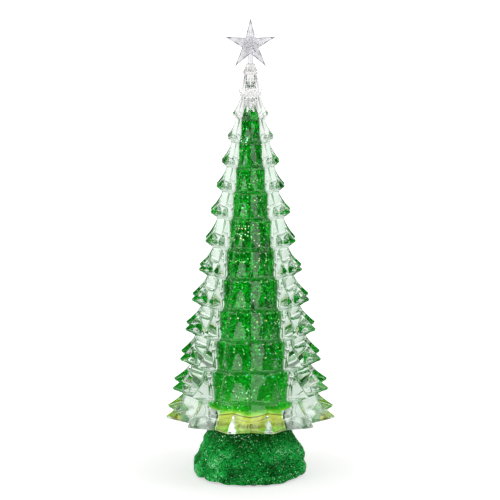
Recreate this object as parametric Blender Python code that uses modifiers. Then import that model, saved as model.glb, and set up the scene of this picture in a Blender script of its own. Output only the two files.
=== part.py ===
"""Water lantern tree: a clear pleated tree full of glitter liquid on a rock-shaped base.

Metres, +Z up. The lantern stands on z = 0 with its axis on Z and its front towards -Y.
Each solid is one sub-part. Pieces that turn, slide or swing hang from an empty on their joint's axis.
"""

import math

import bmesh
import bpy
import numpy as np
from mathutils import Matrix, Vector

# Fits shared by all pieces
GAP = 0.0003  # between pieces that touch, are glued or are screwed together
RUNNING_GAP = 0.0009  # beside what turns or swings
OVERRUN = 0.001  # how far a cutter runs past what it cuts
MERGE = 0.00001

# Pleated tree
PLEAT_COUNT = 12
COLUMN_COUNT = 2 * PLEAT_COUNT  # a ridge and a valley for each pleat
TIP_RADIUS_LOW = 0.0878
TIP_RADIUS_HIGH = 0.0078
TIER_SPAN = 0.343  # from the lowest tips to the highest
LOWEST_TIP = 0.003  # above the plug's underside
TIER_DROP_SHARES = (0, 0.055, 0.118, 0.184, 0.254, 0.325, 0.4, 0.484, 0.567, 0.655, 0.742, 0.83, 0.916, 1)
TIER_REACH_SHARES = (0, 0.058, 0.129, 0.2, 0.274, 0.343, 0.42, 0.488, 0.571, 0.665, 0.75, 0.82, 0.916, 1)
WAIST_SHARE = 0.83  # a tier starts at this share of the reach of the tier above it
WAIST_VALLEY_SHARE = 0.9
RIM_VALLEY_SHARE = 0.86
VALLEY_DROP_SHARE = 0.09  # of the tier's own height
UNDERSIDE_DROP_SHARE = 0.19
LIP_DROP_SHARE = 0.045
LIP_INSET_SHARE = 0.015
FLARE_POWER = 1.2
FLARE_STEP_SHARES = (0.35, 0.7)
TOP_RADIUS = 0.0047
TOP_CAP_HEIGHT = 0.008
TREE_FOOT_WIDTH = 0.0055

# Hollow for the liquid
CORE_SHOULDER = 0.0019  # step that the plug seats on
CORE_RADIUS_HIGH = 0.0069
CORE_POWER = 1.1
CORE_RING_COUNT = 7
AIR_HEIGHT = 0.014
ROOF_THICKNESS = 0.0254  # solid moulding between the air space and the star's hole
DOME_STEP_SHARES = ((0.75, 0.5), (0.4, 0.85))  # share of radius, share of height

# Star
STAR_RADIUS = 0.026
STAR_NOTCH_RADIUS = 0.0105
STAR_DEPTH = 0.0052  # half the thickness at the middle
STAR_EDGE = 0.0005  # half the thickness of its outline
STAR_HUB_RADIUS = 0.009
STAR_HUB_SHARES = (0.8, 0.55, 0.68)  # hub depth, radius at the notches, depth at the notches
STAR_ARM_COUNT = 5
STEM_RADIUS = 0.0029
STEM_RISE = 0.0187  # from the tree's top to the star's middle
STEM_SINK_SHARE = 0.62  # how far into the star's notch radius the stem runs
SPIGOT_RADIUS = 0.0018
SPIGOT_LENGTH = 0.008

# Tank plug and its seal
WEB_THICKNESS = 0.003
RECESS_RADIUS = 0.025
RECESS_HEAD_ROOM = 0.0018  # over what turns or stands in the recess
SEAL_SECTION_RADIUS = 0.00085
SEAL_STEP_COUNT = 8  # sides of its section
STOPPER_RADIUS = 0.003
STOPPER_HEAD_RADIUS = 0.0042
STOPPER_HEAD_HEIGHT = 0.0015
STOPPER_FROM_BRACKET = 0.0012
STOPPER_FROM_SEAL = 0.001

# Stirrer in the liquid
PIN_RADIUS = 0.001
PIN_DEPTH = 0.0045
PIN_BOSS_RADIUS = 0.0032
PIN_BOSS_HEIGHT = 0.003
IMPELLER_RADIUS = 0.015
IMPELLER_ROOF = 0.0008  # over the magnets in its disc
IMPELLER_HUB_RADIUS = 0.0035
IMPELLER_HUB_HEIGHT = 0.0055
BLADE_COUNT = 4
BLADE_HEIGHT = 0.0065
BLADE_THICKNESS = 0.0016
BLADE_INSET = 0.001
WASHER_RADIUS = 0.0026
WASHER_THICKNESS = 0.001
PIN_END = 0.001
SWIRL_ROOM = 0.002  # between the stirrer and the modelled liquid

# Magnets, alike in impeller and carrier
MAGNET_COUNT = 2
MAGNET_RADIUS = 0.003
MAGNET_HEIGHT = 0.0038
MAGNET_FROM_EDGE = 0.003

# Motor, carrier and bracket
MOTOR_RADIUS = 0.0122
MOTOR_LENGTH = 0.0123
MOTOR_BOSS_RADIUS = 0.003
MOTOR_BOSS_HEIGHT = 0.0015
SHAFT_RADIUS = 0.001
SHAFT_DEPTH = 0.006  # inside the can
CARRIER_FLOOR = 0.0016  # under the magnets in it
CARRIER_ROOF = 0.0012  # left above the shaft's end
BRACKET_THICKNESS = 0.0023
MOTOR_SCREW_RING = 0.0082
MOTOR_SCREW_RADIUS = 0.0009
MOTOR_SCREW_HEAD_RADIUS = 0.0019
MOTOR_SCREW_HEAD_HEIGHT = 0.0012
MOTOR_SCREW_BITE = 0.0022
BRACKET_SCREW_COUNT = 3
BRACKET_SCREW_TURN_SHARE = 0.22  # of the step between screws, past +X
BRACKET_SCREW_RADIUS = 0.0015
BRACKET_SCREW_HEAD_RADIUS = 0.0028
BRACKET_SCREW_HEAD_HEIGHT = 0.0018
BRACKET_SCREW_BITE = 0.006
BRACKET_SCREW_MARGIN = 0.00045  # beside its head, on both sides

# Lamps
LED_BOARD_THICKNESS = 0.0014
LED_BOARD_PLAY = 0.0006
LED_BOARD_INNER_ROOM = 0.002  # around the turning carrier
LED_COUNT = 4
LED_RADIUS = 0.0025
LED_STRAIGHT = 0.003
LED_FLANGE_RADIUS = 0.0029
LED_FLANGE_HEIGHT = 0.0008
LED_DOME_STEP_SHARES = (0.35, 0.7)  # of the quarter turn from its top to its side

# Rock-shaped base shell
BASE_HEIGHT = 0.0617
SHELL_WALL = 0.0026
SHELL_LEDGE = 0.001  # by which its top opening clears the plug's recess
SHELL_COLUMN_COUNT = 48
SHELL_CLEARANCE = 0.0008  # under its lower edge
ROCK_RELIEF = 0.003
NECK_ROOM = 0.0011  # between the bracket and the shell's neck
NECK_ROUNDING_SHARES = ((0.87, 1.0, 0.0), (0.27, 0.988, 0.05))  # of the wall in from the neck, then as below
SHELL_OUTLINE_SHARES = (  # of the way from neck to base radius, of BASE_HEIGHT, of ROCK_RELIEF
    (0.0, 0.955, 0.15), (0.055, 0.87, 0.5), (0.148, 0.76, 0.9), (0.289, 0.66, 1.0), (0.441, 0.565, 1.0),
    (0.601, 0.47, 1.0), (0.748, 0.375, 1.0), (0.862, 0.285, 1.0), (0.952, 0.195, 0.9), (0.992, 0.12, 0.7),
    (0.96, 0.055, 0.5),
)
SHELL_FOOT_SHARE = 0.88  # the lower edge curls in to this share of the way from neck to base radius
ROCK_WAVE_SHARES = (  # rise, waves around, start and lean in radians
    (0.34, 3, 1.3, 2), (0.28, 5, -2.1, 6), (0.26, 9, 0.7, -8),
)
ROCK_MOUND_SHARES = (  # rise, share of a turn, share of the height, width in radians, height
    (0.8, 0.83, 0.5, 0.42, 0.22), (0.5, 0.65, 0.42, 0.36, 0.22), (-0.8, 0.75, 0.78, 0.3, 0.22),
)
FLANGE_WIDTH = 0.007  # of the ring inside the shell that the base plate is screwed to
FLANGE_ROOF = 0.001  # over its screw holes
PLATE_LIP = 0.0055  # of the shell, beside the plate
PLATE_MARGIN = 0.006  # past the control board's corner

# Base plate, feet and its screws
FOOT_RADIUS = 0.006
FOOT_PROUD = 0.0002  # below the screw heads
FOOT_FROM_EDGE = 0.0032
FOOT_COUNT = 4
BASE_SCREW_TURN_SHARES = (0.26, 0.51, 0.76)  # of a full turn from +X
BASE_SCREW_RADIUS = 0.0012
BASE_SCREW_HEAD_RADIUS = 0.0024
BASE_SCREW_HEAD_HEIGHT = 0.0011
BASE_SCREW_BITE = 0.003

# Cells, their box and its door
CELL_COUNT = 3
CELL_RADIUS = 0.00725
CELL_LENGTH = 0.0505
CELL_NUB_RADIUS = 0.00275
CELL_NUB_LENGTH = 0.001
CELL_PLAY = 0.0006
BOX_WALL = 0.0018
CONTACT_THICKNESS = 0.0005
CONTACT_SIDE = 0.009
SPRING_SPACE = 0.0052
SPRING_WIRE_RADIUS = 0.00035
SPRING_RADIUS = 0.0034
SPRING_TAPER_SHARE = 0.7
SPRING_TURN_COUNT = 3
SPRING_STEP_COUNT = 10  # points on each turn
DOOR_THICKNESS = 0.002
DOOR_PLAY = 0.0006
DOOR_PIN_RADIUS = 0.0008
DOOR_PIN_LENGTH = 0.0022
DOOR_GRIP_WIDTH = 0.012
DOOR_GRIP_DEPTH = 0.0008
DOOR_GRIP_REACH = 0.003

# Circuit board and switch
BOARD_SIZE = (0.0125, 0.024)
BOARD_THICKNESS = 0.0016
BOARD_FROM_BOX = 0.0018
POST_RADIUS = 0.0016
POST_INSET = 0.0032
SWITCH_BODY_SIZE = (0.0044, 0.0085, 0.0042)
SWITCH_LIFT = 0.0008  # between the switch body and the plate
KNOB_SIZE = (0.0024, 0.003)
KNOB_PROUD = 0.001
KNOB_TRAVEL = 0.004  # three places, two steps
SLOT_PLAY = 0.0005
CHIP_SIZE = (0.005, 0.005, 0.0014)

# Internal leads
LEAD_RADIUS = 0.0006
LEAD_POINT_COUNT = 14
MOTOR_LEAD_SPOT = (0.006, 0.0025)
LEAD_HOLE_RADIUS = 0.002
SHORT_BEND = 0.005
MIDDLE_BEND = 0.015
LONG_BEND = 0.02

# Heights that follow from the sizes above
POCKET_DEPTH = MAGNET_HEIGHT + 2 * GAP
IMPELLER_DISC = POCKET_DEPTH + IMPELLER_ROOF
CARRIER_THICKNESS = POCKET_DEPTH + CARRIER_FLOOR
FOOT_HEIGHT = BASE_SCREW_HEAD_HEIGHT + FOOT_PROUD
PLATE_BOTTOM = FOOT_HEIGHT + GAP
PLATE_THICKNESS = DOOR_THICKNESS + 2 * GAP
PLATE_TOP = PLATE_BOTTOM + PLATE_THICKNESS
DOOR_BOTTOM = PLATE_BOTTOM + GAP
FLANGE_THICKNESS = BASE_SCREW_BITE + FLANGE_ROOF
PLUG_BOTTOM = BASE_HEIGHT + GAP
BRACKET_TOP = BASE_HEIGHT - SHELL_WALL - GAP
BRACKET_BOTTOM = BRACKET_TOP - BRACKET_THICKNESS
MOTOR_TOP = BRACKET_BOTTOM - GAP
CARRIER_BOTTOM = BRACKET_TOP + GAP + MOTOR_SCREW_HEAD_HEIGHT + RUNNING_GAP
CARRIER_TOP = CARRIER_BOTTOM + CARRIER_THICKNESS
LED_BOTTOM = BRACKET_TOP + GAP + LED_BOARD_THICKNESS + GAP
LED_TOP = LED_BOTTOM + LED_FLANGE_HEIGHT + LED_STRAIGHT + LED_RADIUS
PLUG_THICKNESS = max(CARRIER_TOP, LED_TOP) + RECESS_HEAD_ROOM - PLUG_BOTTOM + WEB_THICKNESS
TREE_TOP = LOWEST_TIP + TIER_SPAN + TOP_CAP_HEIGHT  # above the plug's underside
CORE_HEIGHT = TREE_TOP - SPIGOT_LENGTH - GAP - ROOF_THICKNESS - AIR_HEIGHT - PLUG_THICKNESS - GAP

# Places in plan that follow from the sizes above
OPENING_RADIUS = RECESS_RADIUS + SHELL_LEDGE
BRACKET_RADIUS = OPENING_RADIUS + 2 * (BRACKET_SCREW_HEAD_RADIUS + BRACKET_SCREW_MARGIN)
BRACKET_SCREW_RING = (OPENING_RADIUS + BRACKET_RADIUS) / 2
NECK_RADIUS = BRACKET_RADIUS + NECK_ROOM + SHELL_WALL
STOPPER_RING = BRACKET_RADIUS + STOPPER_FROM_BRACKET + STOPPER_HEAD_RADIUS
SEAL_FLOOR_RADIUS = STOPPER_RING + STOPPER_RADIUS + GAP + STOPPER_FROM_SEAL
PLUG_RADIUS = SEAL_FLOOR_RADIUS + GAP + 2 * SEAL_SECTION_RADIUS
CORE_RADIUS_LOW = PLUG_RADIUS - CORE_SHOULDER
CARRIER_RADIUS = IMPELLER_RADIUS
MAGNET_RING = IMPELLER_RADIUS - MAGNET_FROM_EDGE - MAGNET_RADIUS
CELL_PITCH = 2 * CELL_RADIUS + CELL_PLAY
BOX_INNER_WIDTH = CELL_COUNT * CELL_PITCH + CELL_PLAY
BOX_INNER_LENGTH = CELL_LENGTH + SPRING_SPACE + CONTACT_THICKNESS + 3 * GAP
BOX_INNER_HEIGHT = 2 * CELL_RADIUS + CELL_PLAY
BOX_END = BOX_INNER_LENGTH / 2 + BOX_WALL
BOARD_X = BOX_END + BOARD_FROM_BOX + BOARD_SIZE[0] / 2
BOARD_BOTTOM = PLATE_TOP + SWITCH_LIFT + GAP + SWITCH_BODY_SIZE[2] + GAP
BOARD_TOP = BOARD_BOTTOM + BOARD_THICKNESS
PLATE_RADIUS = math.hypot(BOARD_X + BOARD_SIZE[0] / 2, BOARD_SIZE[1] / 2) + PLATE_MARGIN
PLATE_RECESS_RADIUS = PLATE_RADIUS + GAP
BASE_RADIUS = PLATE_RECESS_RADIUS + PLATE_LIP
FLANGE_RADIUS = PLATE_RECESS_RADIUS - FLANGE_WIDTH
BASE_SCREW_RING = FLANGE_RADIUS + FLANGE_WIDTH / 2
FOOT_RING = PLATE_RADIUS - FOOT_FROM_EDGE - FOOT_RADIUS
IMPELLER_BOTTOM = PLUG_THICKNESS + PIN_BOSS_HEIGHT + GAP  # above the plug's underside, as is PIN_TOP
PIN_TOP = IMPELLER_BOTTOM + IMPELLER_DISC + IMPELLER_HUB_HEIGHT + GAP + WASHER_THICKNESS + PIN_END


def clear_scene():
    for old in list(bpy.data.objects):
        bpy.data.objects.remove(old, do_unlink=True)


def new_collection(name):
    collection = bpy.data.collections.new(name)
    bpy.context.scene.collection.children.link(collection)
    return collection


def new_material(name, colour, roughness, metallic=0.0, alpha=1.0):
    material = bpy.data.materials.new(name)
    material.use_nodes = True
    shader = material.node_tree.nodes["Principled BSDF"]
    shader.inputs["Base Color"].default_value = (*colour, 1.0)
    shader.inputs["Roughness"].default_value = roughness
    shader.inputs["Metallic"].default_value = metallic
    shader.inputs["Alpha"].default_value = alpha
    material.diffuse_color = (*colour, alpha)
    return material


def new_carrier(name, spot):
    """An empty that pieces are parented to."""
    carrier = bpy.data.objects.new(name, None)
    carrier.location = spot
    parts.objects.link(carrier)
    return carrier


def place(name, mesh, material, spot=(0, 0, 0), carrier=None):
    """Makes the mesh a named sub-part at its spot, measured from its carrier."""
    piece = bpy.data.objects.new(name, mesh)
    parts.objects.link(piece)
    piece.location = spot
    piece.parent = carrier
    piece.data.materials.append(material)
    return piece


def box_mesh(size, low=(0, 0, 0)):
    """A box of this size, centred in X and Y, whose bottom lies at low."""
    shape = bmesh.new()
    bmesh.ops.create_cube(shape, size=1)
    bmesh.ops.scale(shape, vec=size, verts=shape.verts)
    bmesh.ops.translate(shape, vec=Vector(low) + Vector((0, 0, size[2] / 2)), verts=shape.verts)
    return mesh_of(shape, "box")


def rod_mesh(radius, length, sides=16, low=(0, 0, 0)):
    """A round rod along +Z whose bottom centre lies at low."""
    shape = bmesh.new()
    bmesh.ops.create_cone(
        shape, cap_ends=True, segments=sides, radius1=radius, radius2=radius, depth=length
    )
    bmesh.ops.translate(shape, vec=Vector(low) + Vector((0, 0, length / 2)), verts=shape.verts)
    return mesh_of(shape, "rod")


def mesh_of(shape, name):
    mesh = bpy.data.meshes.new(name)
    shape.to_mesh(mesh)
    shape.free()
    return mesh


def turn(name, outline, material, spot=(0, 0, 0), carrier=None, steps=COLUMN_COUNT, ring=False):
    """Turns an outline of (radius, height) points about Z.

    It runs down the outer side. A ring's outline closes.
    """
    mesh = bpy.data.meshes.new(name)
    edges = [(i, i + 1) for i in range(len(outline) - 1)]
    if ring:
        edges.append((len(outline) - 1, 0))
    mesh.from_pydata([(radius, 0, height) for radius, height in outline], edges, [])
    piece = place(name, mesh, material, spot, carrier)
    screw = piece.modifiers.new("turn", "SCREW")
    screw.steps = screw.render_steps = steps
    screw.use_merge_vertices = True
    screw.merge_threshold = MERGE
    screw.use_smooth_shade = False
    return piece


def loft(name, rings, material, spot=(0, 0, 0), carrier=None):
    """Skins rings of equal counts, one after another. The first and the last ring are single points."""
    count = len(rings[1])
    points = np.concatenate([np.reshape(ring, (-1, 3)) for ring in rings])
    column = np.arange(count)
    following = (column + 1) % count
    faces = [(0, 1 + i, 1 + j) for i, j in zip(column, following)]
    for ring in range(len(rings) - 3):
        start = 1 + ring * count
        faces += [
            (start + i, start + count + i, start + count + j, start + j) for i, j in zip(column, following)
        ]
    start = 1 + (len(rings) - 3) * count
    faces += [(start + i, len(points) - 1, start + j) for i, j in zip(column, following)]
    mesh = bpy.data.meshes.new(name)
    mesh.from_pydata(points.tolist(), [], [[int(i) for i in face] for face in faces])
    return place(name, outward(mesh), material, spot, carrier)


def outward(mesh):
    """Splits the faces of a closed mesh into triangles and turns them outwards."""
    shape = bmesh.new()
    shape.from_mesh(mesh)
    bmesh.ops.triangulate(shape, faces=shape.faces)
    bmesh.ops.recalc_face_normals(shape, faces=shape.faces)
    shape.to_mesh(mesh)
    shape.free()
    return mesh


def combine(piece, mesh, operation, spot=(0, 0, 0), turned_by=None):
    """Cuts the mesh out of the piece, or joins it on. The mesh's spot is measured from the piece."""
    tool = bpy.data.objects.new(f"{piece.name}_{operation.lower()}_{len(piece.modifiers)}", mesh)
    cutters.objects.link(tool)
    tool.parent = piece
    tool.matrix_local = Matrix.Translation(spot) @ (turned_by or Matrix())
    tool.display_type = "WIRE"
    tool.hide_render = True
    boolean = piece.modifiers.new("shape", "BOOLEAN")
    boolean.operation = operation
    boolean.solver = "EXACT"
    boolean.object = tool


def cut(piece, mesh, spot=(0, 0, 0), turned_by=None):
    combine(piece, mesh, "DIFFERENCE", spot, turned_by)


def join(piece, mesh, spot=(0, 0, 0), turned_by=None):
    combine(piece, mesh, "UNION", spot, turned_by)


def around(count, radius, height=0.0, share=0.0):
    """Evenly spaced spots on a circle, the first of them at this share of a step past +X."""
    angles = [(i + share) * 2 * math.pi / count for i in range(count)]
    return [(radius * math.cos(angle), radius * math.sin(angle), height) for angle in angles]


def shade_round(piece, angle_share=0.2):
    """Smooth shading with edges kept sharp past this share of a half turn."""
    if piece.type == "MESH" and len(piece.data.polygons):
        piece.data.shade_smooth()
        piece.data.set_sharp_from_angle(angle=angle_share * math.pi)


def screw_outline(head_radius, head_height, shank_radius, length):
    """A plain pan head over its shank. The head's underside is at height zero."""
    return [
        (0, head_height),
        (head_radius, head_height),
        (head_radius, 0),
        (shank_radius, 0),
        (shank_radius, -length),
        (0, -length),
    ]


def tier_tips():
    """Reach and height of each tier's tips, from the top tier down, measured from the plug's underside."""
    reach = TIP_RADIUS_HIGH + (TIP_RADIUS_LOW - TIP_RADIUS_HIGH) * np.array(TIER_REACH_SHARES)
    height = LOWEST_TIP + TIER_SPAN * (1 - np.array(TIER_DROP_SHARES))
    return list(zip(reach, height))


def pleated_ring(ridge_radius, ridge_height, valley_radius, valley_height):
    """One ring of the tree: valleys on the even columns, ridges on the odd ones."""
    angle = np.arange(COLUMN_COUNT) * 2 * math.pi / COLUMN_COUNT
    ridge = np.arange(COLUMN_COUNT) % 2 == 1
    radius = np.where(ridge, ridge_radius, valley_radius)
    height = np.where(ridge, ridge_height, valley_height)
    return np.column_stack([radius * np.cos(angle), radius * np.sin(angle), height])


def plain_ring(radius, height):
    return pleated_ring(radius, height, radius, height)


def tier_rings(tips, tier):
    """The rings of one tier: its waist, its flare, its tips and the lip under them."""
    reach, tip_height = tips[tier]
    if tier == 0:
        waist, waist_valley = TOP_RADIUS, TOP_RADIUS
        waist_height = tip_height + TOP_CAP_HEIGHT
        own_height = TOP_CAP_HEIGHT
    else:
        above_reach, above_height = tips[tier - 1]
        own_height = above_height - tip_height
        waist = above_reach * WAIST_SHARE
        waist_valley = waist * WAIST_VALLEY_SHARE
        above_own = tips[tier - 2][1] - above_height if tier > 1 else TOP_CAP_HEIGHT
        waist_height = above_height - above_own * UNDERSIDE_DROP_SHARE
    valley_reach = reach * RIM_VALLEY_SHARE
    valley_height = tip_height - own_height * VALLEY_DROP_SHARE
    rings = [pleated_ring(waist, waist_height, waist_valley, waist_height)]
    for share in FLARE_STEP_SHARES:
        out = share**FLARE_POWER
        rings.append(
            pleated_ring(
                waist + (reach - waist) * out,
                waist_height + (tip_height - waist_height) * share,
                waist_valley + (valley_reach - waist_valley) * out,
                waist_height + (valley_height - waist_height) * share,
            )
        )
    lip = own_height * LIP_DROP_SHARE
    inset = 1 - LIP_INSET_SHARE
    rings.append(pleated_ring(reach, tip_height, valley_reach, valley_height))
    rings.append(pleated_ring(reach * inset, tip_height - lip, valley_reach * inset, valley_height - lip))
    return rings


def core_radius(share):
    """The hollow's radius at a share of the way down from the liquid's surface to the shoulder."""
    return CORE_RADIUS_HIGH + (CORE_RADIUS_LOW - CORE_RADIUS_HIGH) * share**CORE_POWER


def make_tree_body():
    """One clear moulding: hole for the star, fourteen pleated tiers, mouth, shoulder, cone and air space."""
    tips = tier_tips()
    hole = SPIGOT_RADIUS + GAP
    hole_floor = TREE_TOP - SPIGOT_LENGTH - GAP
    mouth = PLUG_RADIUS + GAP
    shoulder = PLUG_THICKNESS + GAP
    foot = mouth + TREE_FOOT_WIDTH
    surface = shoulder + CORE_HEIGHT
    rings = [(0, 0, hole_floor), plain_ring(hole, hole_floor), plain_ring(hole, TREE_TOP)]
    for tier in range(len(tips)):
        rings += tier_rings(tips, tier)
    rings += [
        plain_ring(foot + TREE_FOOT_WIDTH / 2, LOWEST_TIP / 2),
        plain_ring(foot, GAP),
        plain_ring(mouth, GAP),
        plain_ring(mouth, shoulder),
    ]
    for step in range(CORE_RING_COUNT):
        share = 1 - step / (CORE_RING_COUNT - 1)
        rings.append(plain_ring(core_radius(share), surface - CORE_HEIGHT * share))
    for radius_share, height_share in DOME_STEP_SHARES:
        rings.append(plain_ring(CORE_RADIUS_HIGH * radius_share, surface + AIR_HEIGHT * height_share))
    rings.append((0, 0, surface + AIR_HEIGHT))
    loft("tree_body", rings, clear_acrylic, carrier=tank)


def make_glitter_liquid():
    """The filling, 0.3 mm clear of the hollow, with room at the bottom for the stirrer."""
    bottom = PLUG_THICKNESS + GAP
    outline = [(0, bottom + CORE_HEIGHT)]
    for step in range(CORE_RING_COUNT):
        share = step / (CORE_RING_COUNT - 1)
        outline.append((core_radius(share) - GAP, bottom + CORE_HEIGHT * (1 - share)))
    outline[-1] = (outline[-1][0], bottom + GAP)
    swirl_radius = IMPELLER_RADIUS + SWIRL_ROOM
    swirl_top = PIN_TOP + SWIRL_ROOM
    outline += [(swirl_radius, bottom + GAP), (swirl_radius, swirl_top), (0, swirl_top)]
    turn("glitter_liquid", outline, green_liquid, carrier=tank)


def make_star_topper():
    """A faceted five-pointed star on a clear stem, with a spigot that sits in the top of the tree."""
    hub_depth_share, notch_share, notch_depth_share = STAR_HUB_SHARES
    angle = math.pi / 2 + np.arange(2 * STAR_ARM_COUNT) * math.pi / STAR_ARM_COUNT
    arm = np.arange(2 * STAR_ARM_COUNT) % 2 == 0

    def star_ring(arm_radius, notch_radius, arm_depth, notch_depth):
        radius = np.where(arm, arm_radius, notch_radius)
        depth = np.where(arm, arm_depth, notch_depth)
        return np.column_stack([radius * np.cos(angle), depth, radius * np.sin(angle)])

    hub = (STAR_HUB_RADIUS, STAR_HUB_RADIUS * notch_share)
    hub_depth = (STAR_DEPTH * hub_depth_share, STAR_DEPTH * notch_depth_share)
    rings = [
        (0, -STAR_DEPTH, 0),
        star_ring(*hub, -hub_depth[0], -hub_depth[1]),
        star_ring(STAR_RADIUS, STAR_NOTCH_RADIUS, -STAR_EDGE, -STAR_EDGE),
        star_ring(STAR_RADIUS, STAR_NOTCH_RADIUS, STAR_EDGE, STAR_EDGE),
        star_ring(*hub, *hub_depth),
        (0, STAR_DEPTH, 0),
    ]
    star = loft("star_topper", rings, clear_acrylic, (0, 0, TREE_TOP + STEM_RISE), tank)
    stem_bottom = GAP - STEM_RISE
    stem_top = -STAR_NOTCH_RADIUS * STEM_SINK_SHARE
    join(star, rod_mesh(STEM_RADIUS, stem_top - stem_bottom, low=(0, 0, stem_bottom)))
    join(star, rod_mesh(SPIGOT_RADIUS, SPIGOT_LENGTH + GAP, low=(0, 0, -STEM_RISE - SPIGOT_LENGTH + GAP)))


def stopper_spot():
    """Outside the bracket and the shell's top ring, towards the front."""
    return (0, -STOPPER_RING, 0)


def make_tank_plug():
    """Clear disc in the tree's mouth: thin web over the drive, boss for the pin, groove for the seal."""
    seal_half = SEAL_SECTION_RADIUS + GAP
    middle = PLUG_THICKNESS / 2
    boss_top = PLUG_THICKNESS + PIN_BOSS_HEIGHT
    web = PLUG_THICKNESS - WEB_THICKNESS
    outline = [
        (0, boss_top - PIN_DEPTH),
        (PIN_RADIUS + GAP, boss_top - PIN_DEPTH),
        (PIN_RADIUS + GAP, boss_top),
        (PIN_BOSS_RADIUS, boss_top),
        (PIN_BOSS_RADIUS, PLUG_THICKNESS),
        (PLUG_RADIUS, PLUG_THICKNESS),
        (PLUG_RADIUS, middle + seal_half),
        (SEAL_FLOOR_RADIUS, middle + seal_half),
        (SEAL_FLOOR_RADIUS, middle - seal_half),
        (PLUG_RADIUS, middle - seal_half),
        (PLUG_RADIUS, 0),
        (RECESS_RADIUS, 0),
        (RECESS_RADIUS, web),
        (0, web),
    ]
    plug = turn("tank_plug", outline, clear_acrylic, carrier=tank)
    for x, y, _ in around(BRACKET_SCREW_COUNT, BRACKET_SCREW_RING, share=BRACKET_SCREW_TURN_SHARE):
        hole = rod_mesh(BRACKET_SCREW_RADIUS + GAP, BRACKET_SCREW_BITE + GAP + OVERRUN, low=(0, 0, -OVERRUN))
        cut(plug, hole, (x, y, 0))
    through = PLUG_THICKNESS + 2 * OVERRUN
    cut(plug, rod_mesh(STOPPER_RADIUS + GAP, through, low=(0, 0, -OVERRUN)), stopper_spot())
    head_room = STOPPER_HEAD_HEIGHT + 2 * GAP + OVERRUN
    cut(plug, rod_mesh(STOPPER_HEAD_RADIUS + GAP, head_room, low=(0, 0, -OVERRUN)), stopper_spot())


def make_plug_seal():
    radius = SEAL_SECTION_RADIUS
    outline = []
    for i in range(SEAL_STEP_COUNT):
        angle = math.pi / 2 - i * 2 * math.pi / SEAL_STEP_COUNT
        outline.append(
            (PLUG_RADIUS - radius + radius * math.cos(angle), PLUG_THICKNESS / 2 + radius * math.sin(angle))
        )
    turn("plug_o_ring", outline, black_rubber, carrier=tank, ring=True)


def make_fill_stopper():
    shank_top = PLUG_THICKNESS
    head_top = GAP + STOPPER_HEAD_HEIGHT
    outline = [
        (0, shank_top),
        (STOPPER_RADIUS, shank_top),
        (STOPPER_RADIUS, head_top),
        (STOPPER_HEAD_RADIUS, head_top),
        (STOPPER_HEAD_RADIUS, GAP),
        (0, GAP),
    ]
    turn("fill_stopper", outline, black_rubber, stopper_spot(), tank, steps=16)


def magnet_spots(height):
    return around(MAGNET_COUNT, MAGNET_RING, height)


def make_magnets(prefix, height, carrier):
    for number, spot in enumerate(magnet_spots(height), 1):
        place(f"{prefix}_magnet_{number}", rod_mesh(MAGNET_RADIUS, MAGNET_HEIGHT), nickel, spot, carrier)


def make_impeller():
    """Disc with a hub and upright blades, on a steel pin, with magnets in pockets under the disc."""
    bore = PIN_RADIUS + GAP
    hub_top = IMPELLER_DISC + IMPELLER_HUB_HEIGHT
    outline = [
        (IMPELLER_HUB_RADIUS, hub_top),
        (IMPELLER_HUB_RADIUS, IMPELLER_DISC),
        (IMPELLER_RADIUS, IMPELLER_DISC),
        (IMPELLER_RADIUS, 0),
        (bore, 0),
        (bore, hub_top),
    ]
    impeller = turn("impeller", outline, white_plastic, carrier=stirrer, ring=True)
    blade_length = IMPELLER_RADIUS - BLADE_INSET - IMPELLER_HUB_RADIUS + bore / 2
    blade = (blade_length, BLADE_THICKNESS, BLADE_HEIGHT + OVERRUN)
    blade_middle = IMPELLER_RADIUS - BLADE_INSET - blade_length / 2
    for number in range(BLADE_COUNT):
        turned_by = Matrix.Rotation((number + 0.5) * 2 * math.pi / BLADE_COUNT, 4, "Z")
        join(impeller, box_mesh(blade, (blade_middle, 0, IMPELLER_DISC - OVERRUN)), turned_by=turned_by)
    for spot in magnet_spots(0):
        pocket = rod_mesh(MAGNET_RADIUS + GAP, POCKET_DEPTH + OVERRUN, low=(0, 0, -OVERRUN))
        cut(impeller, pocket, spot)
    make_magnets("impeller", GAP, stirrer)
    washer_bottom = hub_top + GAP
    outline = [
        (WASHER_RADIUS, washer_bottom + WASHER_THICKNESS),
        (WASHER_RADIUS, washer_bottom),
        (bore, washer_bottom),
        (bore, washer_bottom + WASHER_THICKNESS),
    ]
    turn("pin_washer", outline, white_plastic, (0, 0, IMPELLER_BOTTOM), tank, 16, True)
    pin_bottom = PLUG_THICKNESS + PIN_BOSS_HEIGHT - PIN_DEPTH + GAP
    place("impeller_pin", rod_mesh(PIN_RADIUS, PIN_TOP - pin_bottom), steel, (0, 0, pin_bottom), tank)


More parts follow.
